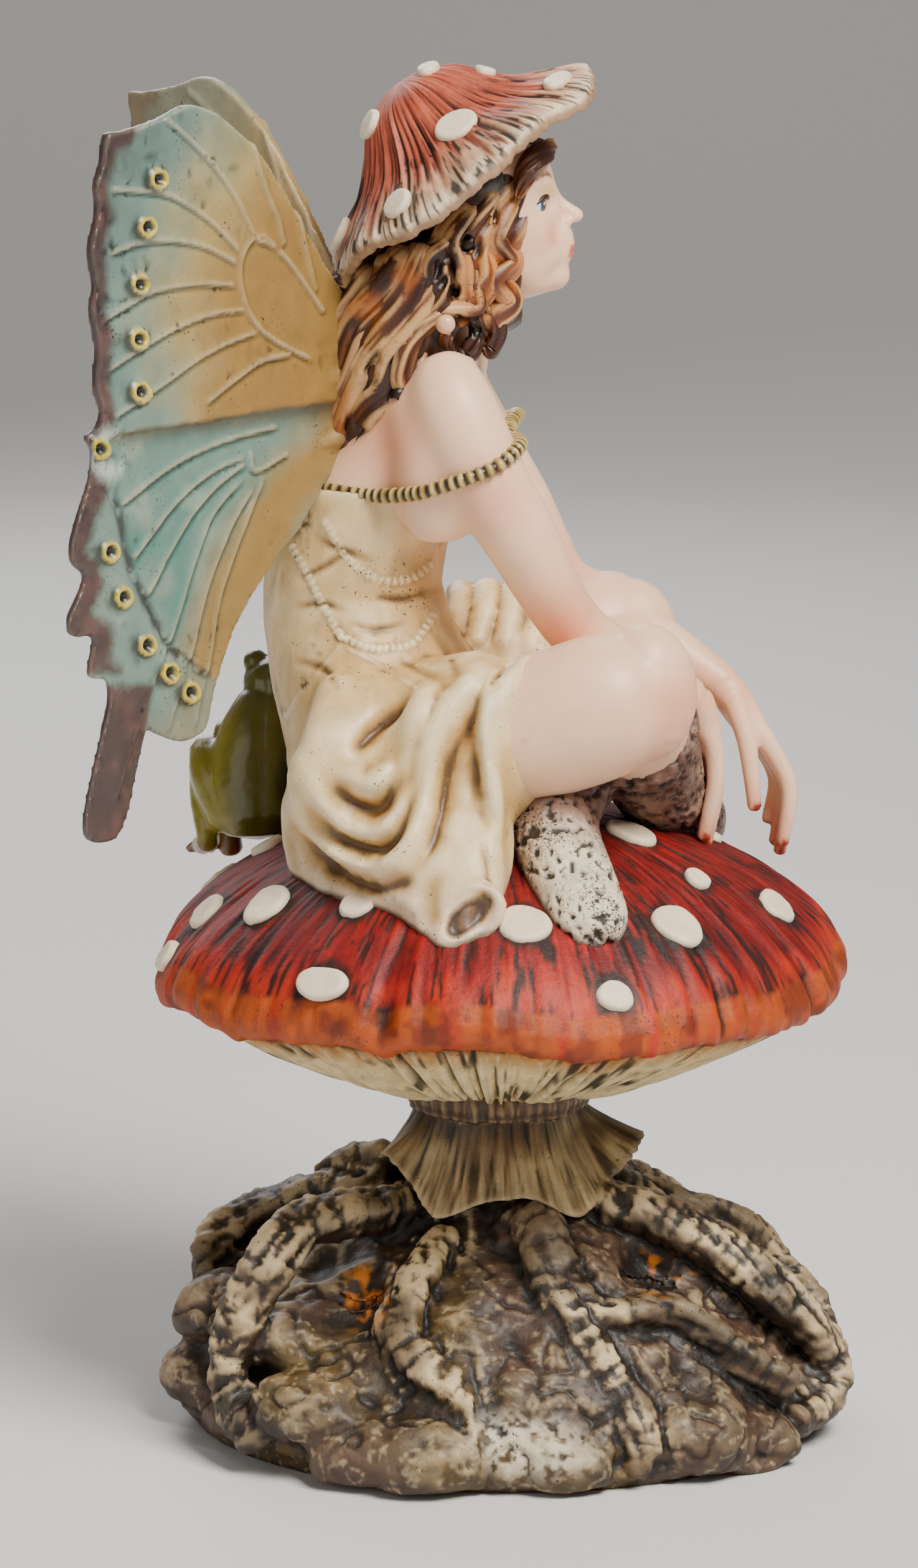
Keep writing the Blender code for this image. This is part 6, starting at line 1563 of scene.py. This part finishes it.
def make_hat():
    """Small toadstool cap worn as a hat: ridged, brick red, fading to white at the brim."""
    top = curve_through(HAT_DOME, 6)
    under = curve_through(HAT_UNDER, 3)
    profile = [*top, *under]
    count = len(profile)

    def rule(angle, radius, height, share):
        row = round(share * (count - 1))
        out = radius / HAT_OUT
        circle = np.stack((28 * np.cos(angle), 28 * np.sin(angle), radius * 0.14), axis=1)
        lift = hat_wave(angle, out)
        if row < len(top):
            ridge = 0.75 * noise(circle, 1.6, 61, 2)
            strength = 0.15 + 0.85 * fade(out, 0.08, 0.5)
            lump = 0.5 * noise(circle, 6.0, 62)
            z = height + lift + 0.6 * ridge * strength * (0.6 + 0.4 * out)
            r = radius + ridge * strength * 0.5 + lump * fade(out, 0.5, 1.0)
        else:
            groove = noise(circle, 1.2, 63, 2)
            z = height + lift + 0.35 * groove * fade(out, 0.45, 0.6)
            r = radius + 0.5 * noise(circle, 6.0, 62) * fade(out, 0.5, 1.0)
        return r, z, angle

    item = revolved("hat", profile, HAT_SIDES, rule)
    skin = Skin(item, BRICK)
    row = count - 1 - np.minimum(np.arange(len(skin.points)) // HAT_SIDES, count - 1)
    flat = skin.points.copy()
    level = skin.hollow(8)
    skin.points = hat_to_world(skin.points)
    skin.refresh()
    out = np.hypot(flat[:, 0], flat[:, 1])
    angle = np.arctan2(flat[:, 1], flat[:, 0])
    above = row < len(top)
    circle = np.stack((28 * np.cos(angle), 28 * np.sin(angle), out * 0.14), axis=1)
    streak = noise(circle, 1.1, 64, 2)
    patch = skin.noise(9.0, 65, 2)
    skin.paint(tone(212, 146, 124), 0.65 * fade(streak + 0.6 * patch, 0.1, 0.9))
    skin.paint(tone(122, 54, 44), 0.65 * fade(-streak + 0.4 * patch, 0.1, 0.8))
    reach_in = out + 4.5 * streak + 2.0 * patch
    skin.paint(tone(214, 182, 154), 0.9 * fade(reach_in, 18.5, 27.0) * above)
    skin.paint(tone(236, 222, 202), 0.85 * fade(out + 1.5 * streak, 25.2, 28.0))
    skin.paint(BLACK_WASH_AND_SHADE, 0.95 * fade(level, 0.02, 0.11) * fade(out, 4, 12) * above)
    dashes = noise(np.stack((28 * np.cos(angle), 28 * np.sin(angle), out * 0.14), axis=1), 0.55, 66, 2)
    skin.paint(BLACK_WASH_AND_SHADE, 0.9 * fade(dashes, 0.24, 0.42) * fade(out, 9, 17) * above)
    skin.paint(tone(150, 120, 92), 0.8 * ~above * (out > 14))
    skin.paint(UMBER, 0.85 * ~above * fade(level + 0.1 * streak, 0.0, 0.1))
    # Painted shade under the hat: the middle of its underside black
    skin.paint(BLACK_WASH_AND_SHADE, 0.9 * ~above * (1 - fade(out, 12.0, 17.0)))
    skin.finish(painted("painted_hat", 0.52, 0.25, 0.35, 0.25, 0.6, coat=0.04), "figure_paint", "fairy")

    shapes = []
    radii, heights = np.array(HAT_DOME).T
    for number, (spot_out, around, long, wide) in enumerate(HAT_SPOTS):
        a = math.radians(around)
        slope = (np.interp(spot_out + 0.6, radii, heights)
                 - np.interp(spot_out - 0.6, radii, heights)) / 1.2
        height = float(np.interp(spot_out, radii, heights)) + float(hat_wave(a, spot_out / HAT_OUT))
        turn = Matrix.Rotation(a, 4, "Z") @ Matrix.Rotation(-math.atan(slope), 4, "Y")
        points, faces = ball((0, 0, 0), (long, wide, 1.0), None, 40)
        points[:, 2] = np.clip(points[:, 2] * 1.7, -1.0, 0.85)
        direction = np.arctan2(points[:, 1], points[:, 0])
        points[:, :2] *= (1 + 0.05 * np.sin(2 * direction + number))[:, None]
        points = points @ np.array(turn.to_3x3()).T
        points += (spot_out * math.cos(a), spot_out * math.sin(a), height + 0.35)
        shapes.append((hat_to_world(points), faces))
    spots = Skin(melt("hat_spots", shapes, 0.26, 3), IVORY)
    spots.antique(tone(120, 92, 66), tone(246, 238, 222), 0.14, 8, 0.5, 0.4)
    spots.finish(painted("painted_hat_spots", 0.5, 0.12, 0.25), "figure_paint", "fairy")


# Dabs on the hat: way out from its middle, degrees round it, and half sizes outward and across
HAT_SPOTS = ((16.4, 285, 3.2, 3.9), (23.8, 242, 2.9, 3.1), (23.4, 181, 3.0, 2.8), (9.0, 206, 2.6, 3.0),
             (6.0, 335, 2.0, 2.6), (13.0, 359, 2.0, 2.4), (23.6, 341, 2.2, 4.4), (14.5, 62, 3.2, 3.6),
             (22.0, 104, 3.0, 3.0), (18.0, 146, 3.0, 3.0), (23.0, 36, 2.4, 3.2))


# Outline of the right wing on its plane: way along X and height, fore wing then hind wing
FORE_EDGE = ((-25.0, 197.6), (-30.1, 206.0), (-34.1, 213.8), (-37.1, 219.4), (-40.6, 225.9),
             (-45.1, 231.0), (-49.0, 234.3), (-52.9, 235.3), (-56.8, 233.4), (-62.5, 231.8),
             (-64.9, 231.5), (-65.6, 227.0), (-66.7, 223.1), (-66.3, 219.1), (-67.6, 213.0),
             (-66.9, 207.0), (-67.5, 202.9), (-66.6, 196.8), (-67.0, 190.5), (-66.0, 186.0),
             (-66.6, 182.0))
HIND_EDGE = ((-67.6, 182.6), (-67.0, 180.0), (-67.4, 175.3), (-69.2, 169.4), (-70.4, 164.4),
             (-70.0, 161.5), (-68.4, 159.5), (-69.0, 157.0), (-71.0, 152.2), (-70.2, 149.6),
             (-67.2, 149.0), (-67.6, 145.4), (-67.8, 142.3), (-65.2, 141.4), (-64.8, 137.5),
             (-66.4, 130.5), (-68.4, 121.0), (-68.8, 116.4), (-67.4, 114.4), (-64.2, 114.4),
             (-62.4, 118.0), (-61.3, 123.1), (-60.0, 129.2), (-59.2, 131.8), (-57.6, 130.8),
             (-55.0, 129.2), (-52.9, 128.6), (-50.2, 129.8), (-49.2, 132.3), (-47.8, 138.4),
             (-44.7, 147.5), (-38.5, 157.1), (-34.4, 161.8), (-29.2, 170.7), (-25.0, 177.0))


def wing_depth(x):
    """Depth of the right wing's plane at a place along X."""
    return 1.1 * x + 20.6


def wing_at(u, v):
    """The point of the right wing's plane seen at a pixel, as X and height."""
    sight = ray(u, v)
    far = (1.1 * CAMERA[0] + 20.6 - CAMERA[1]) / (sight[1] - 1.1 * sight[0])
    spot = CAMERA + sight * far
    return float(spot[0]), float(spot[2])


def wing_plate(outline, shift, thick):
    """A flat plate with that outline on the wing's plane."""
    line = curve_through([(x, z) for x, z in outline], 3)
    front = np.stack((line[:, 0], wing_depth(line[:, 0]), line[:, 1]), axis=1)
    outward = np.array((1.1, -1.0, 0.0)) / math.hypot(1.1, 1.0)
    near = front + outward * (shift + thick / 2)
    far = front + outward * (shift - thick / 2)
    count = len(line)
    triangles = tessellate_polygon([[Vector((x, z, 0)) for x, z in line]])
    faces = [tuple(triangle) for triangle in triangles]
    faces += [tuple(corner + count for corner in reversed(triangle)) for triangle in triangles]
    for index in range(count):
        after = (index + 1) % count
        faces.append((index, index + count, after + count, after))
    return np.vstack((near, far)), faces


FORE_VEINS = (((447, 401), (430, 390), (410, 379), (378, 314), (334, 253), (265, 188)),
              ((386, 405), (343, 358), (286, 319), (247, 308), (174, 303)),
              ((382, 423), (334, 397), (286, 386), (230, 388), (172, 408)),
              ((382, 457), (317, 455), (252, 466), (208, 488), (160, 518)),
              ((399, 496), (343, 503), (286, 525), (230, 557), (168, 598)),
              ((417, 531), (360, 553), (308, 583), (260, 618), (180, 672)),
              ((469, 568), (421, 579), (378, 609), (330, 648)),
              ((456, 397), (446, 350), (434, 323), (404, 227)),
              ((508, 470), (498, 430), (490, 392), (473, 314)))
FORE_CELL = (((447, 401), (420, 378), (398, 392), (386, 424), (388, 462), (404, 509), (438, 544),
              (503, 579)),
             ((447, 401), (473, 431), (521, 503)))
HIND_VEINS = (((449, 684), (391, 698), (333, 718), (270, 751), (190, 814)),
              ((396, 732), (342, 756), (284, 805), (212, 900)),
              ((396, 742), (342, 785), (294, 848), (232, 962)),
              ((391, 766), (342, 824), (308, 911), (274, 1023), (216, 1188), (187, 1285)),
              ((410, 776), (371, 844), (333, 941), (304, 1057), (270, 1178)),
              ((425, 761), (391, 848), (352, 960), (333, 1076), (313, 1173)))
HIND_CELL = (((400, 722), (410, 756), (463, 727)),)
HIND_STEP = (((173, 781), (192, 824), (211, 911), (241, 979), (270, 1033), (304, 1067), (342, 1091)),)
WING_SEAM = ((600, 640), (565, 640), (470, 650), (350, 670), (215, 690), (140, 686))
EYESPOTS = ((254, 288), (236, 365), (224, 457), (222, 545), (225, 630), (161, 722), (178, 887),
            (200, 960), (237, 1037), (275, 1082), (307, 1113))


def make_wings():
    """Butterfly wings: thin cast plates with raised veins, eyespots and a step round the margin."""
    seam = [wing_at(u, v) for u, v in WING_SEAM]
    fore = [*FORE_EDGE, *seam[:0:-1][1:], (-23.0, 184.0)]
    hind = [(-24.0, 190.0), *[(x, z + 3.0) for x, z in seam[1:-1]], *HIND_EDGE]
    plates = [wing_plate(fore, 0.45, 1.9), wing_plate(hind, -0.45, 1.9)]
    # The root is thick where it enters the back
    plates.append(tube(((-20.0, -4.0, 188.0), (-26.0, -8.6, 187.4), (-32.0, -14.6, 187.0)),
                       (3.6, 2.6, 1.0), 20))
    plates.append(tube(((-22.0, -5.0, 178.0), (-26.0, -8.4, 177.0), (-31.0, -13.6, 176.0)),
                       (3.0, 2.2, 1.0), 20))
    item = melt("wing_right_dressed", plates, 0.5, 4)
    skin = Skin(item, GOLDEN)
    outward = np.array((1.1, -1.0, 0.0)) / math.hypot(1.1, 1.0)
    front = skin.normals @ outward
    flat = fade(np.abs(front), 0.3, 0.7)
    u, v = skin.pixels.T
    pixel = skin.pixels
    fore_side = v < np.interp(u, (140, 215, 350, 470, 565), (686, 690, 670, 650, 640)) + 3
    veins = np.zeros(len(skin.points))
    shadow = np.zeros(len(skin.points))
    for lines, own in ((FORE_VEINS, fore_side), (HIND_VEINS, ~fore_side), (FORE_CELL, fore_side),
                       (HIND_CELL, ~fore_side)):
        veins = np.maximum(veins, strokes(pixel, lines, 7.5, 0.04) * own)
        shadow = np.maximum(shadow, strokes(pixel - (2, 6), lines, 8.5, 0.06) * own)
    shadow = np.clip(shadow - 1.4 * veins, 0, 1)
    step = strokes(pixel, HIND_STEP, 11, 0.03) * ~fore_side
    skin.push(flat * (0.36 * veins - 0.36 * shadow + 0.12 * skin.noise(5.0, 3, 2)
                      + 0.05 * skin.noise(1.4, 4)))
    # The margin lies a little lower than the panels
    edge_line = curve_through([wing_pixel(x, z) for x, z in FORE_EDGE[9:]], 4)
    margin_gap, _ = along(pixel, edge_line)
    hind_line = curve_through([wing_pixel(x, z) for x, z in HIND_EDGE[:29]], 3)
    hind_gap, _ = along(pixel, hind_line)
    wander = 6 * skin.noise(6.0, 6, 2)
    margin = (1 - fade(margin_gap + wander, 20, 34)) * fore_side
    outside = ~fore_side & (u < np.interp(v, (690, 781, 824, 911, 979, 1033, 1091),
                                          (165, 173, 192, 211, 241, 270, 342)))
    outside |= ~fore_side & (v > 1091)
    skin.push(-0.3 * flat * outside - 0.25 * step * flat)
    # Eyespots: raised rings round a dark pit
    rings = np.zeros(len(skin.points))
    pits = np.zeros(len(skin.points))
    halo = np.zeros(len(skin.points))
    for spot in EYESPOTS:
        away = blob(pixel, spot, (14, 16.5))
        rings = np.maximum(rings, np.exp(-((away - 0.85) / 0.26) ** 2))
        pits = np.maximum(pits, 1 - fade(away, 0.35, 0.6))
        halo = np.maximum(halo, 1 - fade(blob(pixel, (spot[0] - 8, spot[1] + 4), (22, 25)), 0.55, 1.05))
    skin.push(flat * (0.85 * rings - 0.4 * pits))
    # Paint: golden at the root, cream between, teal outside, mauve at the margin
    root = np.hypot(u - 545, (v - 560) * 0.8)
    blur = 26 * skin.noise(9.0, 7, 2)
    cream = tone(178, 168, 130)
    skin.paint(cream, 0.6 * fade(root + blur, 170, 290) * fore_side)
    skin.paint(PALE_TEAL, fade(root + blur - 0.1 * (700 - v), 215, 350) * fore_side)
    skin.paint(TEAL, 0.7 * fade(skin.noise(8.0, 8, 2) + shadow, 0.2, 0.9) * fade(root, 240, 400)
               * fore_side)
    skin.paint(tone(100, 116, 110), 0.7 * fade(root + blur, 310, 430) * fore_side)
    inner_gap, _ = along(pixel, curve_through(((600, 640), (470, 790), (390, 930), (330, 1110),
                                               (290, 1180)), 4))
    skin.paint(tone(148, 126, 86), 0.9 * ~fore_side)
    reach_out = fade(inner_gap + 0.5 * blur, 14, 84)
    skin.paint(tone(118, 142, 134), reach_out * ~fore_side)
    skin.paint(tone(88, 128, 122), 0.75 * reach_out * ~fore_side
               * fade(skin.noise(7.0, 9, 2) + 2 * shadow,
                                                                        0.1, 0.9))
    skin.paint(tone(170, 178, 162), 0.4 * reach_out * ~fore_side
               * fade(-skin.noise(6.0, 10, 2), 0.1, 0.7))
    seam_shade = np.exp(-((v - np.interp(u, (215, 350, 470, 565), (698, 680, 662, 652)))
                          / 16) ** 2) * ~fore_side
    skin.paint(tone(70, 62, 48), 0.7 * seam_shade)
    skin.paint(tone(64, 56, 30), 0.85 * shadow * (1 - fade(root, 160, 300)))
    skin.paint(tone(38, 62, 54), 0.9 * shadow * fade(root, 160, 300))
    skin.paint(tone(190, 184, 154), 0.14 * fade(veins, 0.4, 0.95))
    mauve_mix = np.clip(margin, 0, 1)
    gone = (outside & ((hind_gap + wander < 30) & (v < 1085) | (v > 1100)
                       & (u < 250 - 0.2 * (v - 1100)))).astype(float)
    gone = skin.blur(gone, 3)
    skin.paint(tone(128, 146, 138), 0.6 * outside)
    skin.paint(MAUVE, 0.95 * np.maximum(mauve_mix, gone))
    skin.paint(tone(112, 86, 82), 0.5 * np.maximum(mauve_mix, gone)
               * fade(skin.noise(3.0, 13, 2), 0.0, 0.6))
    corner = 1 - fade(blob(pixel, (176, 730), (42, 50)), 0.4, 1.1)
    skin.paint(tone(208, 220, 212), 0.85 * corner * fade(skin.noise(2.4, 14, 2), -0.3, 0.3))
    crack = step * fade(skin.noise(1.2, 15, 2), -0.4, 0.1)
    skin.paint(BLACK_WASH_AND_SHADE, 0.85 * crack)
    skin.paint(tone(28, 24, 18), 0.8 * halo * flat)
    skin.paint(tone(196, 178, 60), fade(rings, 0.3, 0.7) * flat)
    skin.paint(BLACK_WASH_AND_SHADE, 0.95 * pits * flat)
    flecks = skin.noise(1.0, 16, 2) + 0.5 * skin.noise(9.0, 17) + 0.35 * shadow
    skin.paint(BLACK_WASH_AND_SHADE, 0.85 * fade(flecks - 0.2 * (1 - fade(root, 200, 320)), 0.84, 1.0))
    edge_wear = fade(-skin.hollow(6), 0.05, 0.2)
    skin.paint(tone(206, 196, 176), 0.35 * edge_wear * (1 - 0.7 * np.maximum(mauve_mix, gone)))
    # Painted light: the faces towards each other are painted paler, as where the far wing's inner face is
    # lit
    skin.paint(tone(206, 192, 160), 0.35 * fade(-front, 0.2, 0.8))
    wing_paint = painted("painted_wing", 0.4, 0.14, 0.16, 0.22, 0.6, coat=0.3)
    skin.finish(wing_paint, "wing_paint", "wing_right")
    # The left wing mirrors it
    mesh = item.data.copy()
    points = np.empty(len(mesh.vertices) * 3)
    mesh.vertices.foreach_get("co", points)
    points = points.reshape(-1, 3) / MM * (1, -1, 1)
    top = fade(points[:, 2], 222, 236) * fade(-points[:, 0], 50, 66)
    points[:, 0] -= 2.6 * top
    points[:, 1] += 2.6 * top
    mesh.vertices.foreach_set("co", (points * MM).ravel())
    mesh.flip_normals()
    mesh.update()
    left = bpy.data.objects.new("wing_left_dressed", mesh)
    bpy.context.scene.collection.objects.link(left)
    place(left, "wing_paint", "wing_left")


def wing_pixel(x, z):
    """Pixel of a point on the right wing's plane."""
    return tuple(seen_at(np.array([(x, wing_depth(x), z)]))[0])


FROG_SEAT = (-43.75, 28.5, 95.5)


def make_frog():
    """Frog crouched behind her, facing away, its head beside her dress."""
    seat = np.array(FROG_SEAT)
    shapes = [tube((seat + (0.4, -1.5, 7.5), seat + (0.0, -0.5, 14.0), seat + (0.9, 0.6, 21.0),
                    seat + (2.9, 2.0, 27.4)),
                   (8.3, 8.6, 7.9, 6.2), 34, 7),
              ball(seat + (3.9, 4.2, 31.0), (6.4, 7.2, 5.0)),
              ball(seat + (3.9, 8.6, 29.6), (5.0, 4.6, 3.6))]
    for side in (-1, 1):
        shapes.append(ball(seat + (3.9 + side * 4.0, 4.6, 34.6), (2.3, 2.4, 2.4)))
        shapes.append(tube((seat + (side * 4.0, -2.6, 8.0), seat + (side * 7.8, 0.4, 15.0),
                            seat + (side * 9.4, 4.6, 19.0)),
                           (5.0, 4.3, 2.8), 22))
        shapes.append(tube((seat + (side * 9.6, 4.8, 18.6), seat + (side * 9.6, 1.6, 10.6),
                            seat + (side * 8.8, -1.4, 3.6)),
                           (2.7, 2.6, 2.0), 18))
        shapes.append(tube((seat + (side * 8.8, -1.6, 2.8), seat + (side * 9.8, 3.0, 1.2),
                            seat + (side * 10.6, 7.0, 0.4)),
                           (2.1, 1.9, 1.6), 16))
        for spread in (-2.2, 0.0, 2.2):
            shapes.append(tube((seat + (side * 10.0, 4.4, 1.0),
                                seat + (side * (10.6 + 0.4 * spread), 7.4 + 0.2 * spread, 0.2),
                                seat + (side * (10.6 + 0.9 * spread), 9.8, -1.0)), (1.1, 0.9, 1.0), 10))
        shapes.append(tube((seat + (side * 4.6, 5.4, 22.0), seat + (side * 6.4, 8.2, 12.6),
                            seat + (side * 5.0, 9.0, -1.0)),
                           (3.2, 2.5, 2.2), 18))
    skin = Skin(melt("frog_dressed", shapes, 0.42, 8), OLIVE)
    ridge = np.abs(skin.points[:, 0] - seat[0] - 1.2) + 30 * (skin.points[:, 1] > seat[1])
    skin.push(-0.35 * (1 - fade(ridge, 0.2, 1.6)) * fade(skin.points[:, 2], 100, 108))
    skin.push(0.07 * skin.noise(1.6, 5, 2))
    low = skin.points[:, 2] - cap_height(skin.points[:, 0], skin.points[:, 1])
    skin.points[:, 2] += np.maximum(-1.0 - low, 0.0) * (low > -6)
    skin.refresh()
    # Painted light and shade: paler on the side away from her, darker on the side next to her and in the
    # hollows
    side = skin.points[:, 0] - seat[0]
    skin.paint(tone(150, 140, 52), 0.8 * fade(-side + 2 * skin.noise(5.0, 6), 1, 8))
    skin.paint(tone(40, 44, 22), 0.8 * fade(side + 2 * skin.noise(5.0, 7), 2.5, 8))
    skin.paint(tone(180, 164, 84), 0.5 * fade(skin.points[:, 1] - seat[1], 4, 9)
               * fade(skin.points[:, 2], 112, 122))
    skin.paint(tone(30, 30, 16), 0.75 * fade(skin.hollow(24), 0.08, 0.5))
    skin.paint(tone(112, 34, 22), 0.7 * (1 - fade(skin.points[:, 2], 95, 100)))
    for way in (-1, 1):
        eye = seat + (3.9 + way * 4.9, 5.6, 35.0)
        away = skin.away(eye)
        skin.paint(tone(196, 160, 56), 1 - fade(away, 1.2, 1.6))
        skin.paint(BLACK_WASH_AND_SHADE, 1 - fade(np.linalg.norm((skin.points - eye) * (1, 1, 1.8), axis=1), 0.7,
                                        1.0))
    mouth = np.exp(-((skin.points[:, 2] - seat[2] - 29.0 - 0.06
                      * (skin.points[:, 0] - seat[0] - 3.9) ** 2) / 0.28) ** 2)
    skin.paint(tone(36, 30, 14), 0.8 * mouth * fade(skin.points[:, 1] - seat[1], 6.5, 8.5))
    skin.finish(painted("painted_frog", 0.3, 0.2, 0.15, 0.1, 0.5, coat=0.4), "frog_green", "frog")


make_camera()
make_studio()
make_rootstock()
make_stalk()
make_cap()
FLESH = skin_paint()
make_torso()
make_legs()
make_socks()
make_dress()
make_cord()
make_head()
make_hair()
make_hat()
make_wings()
make_frog()
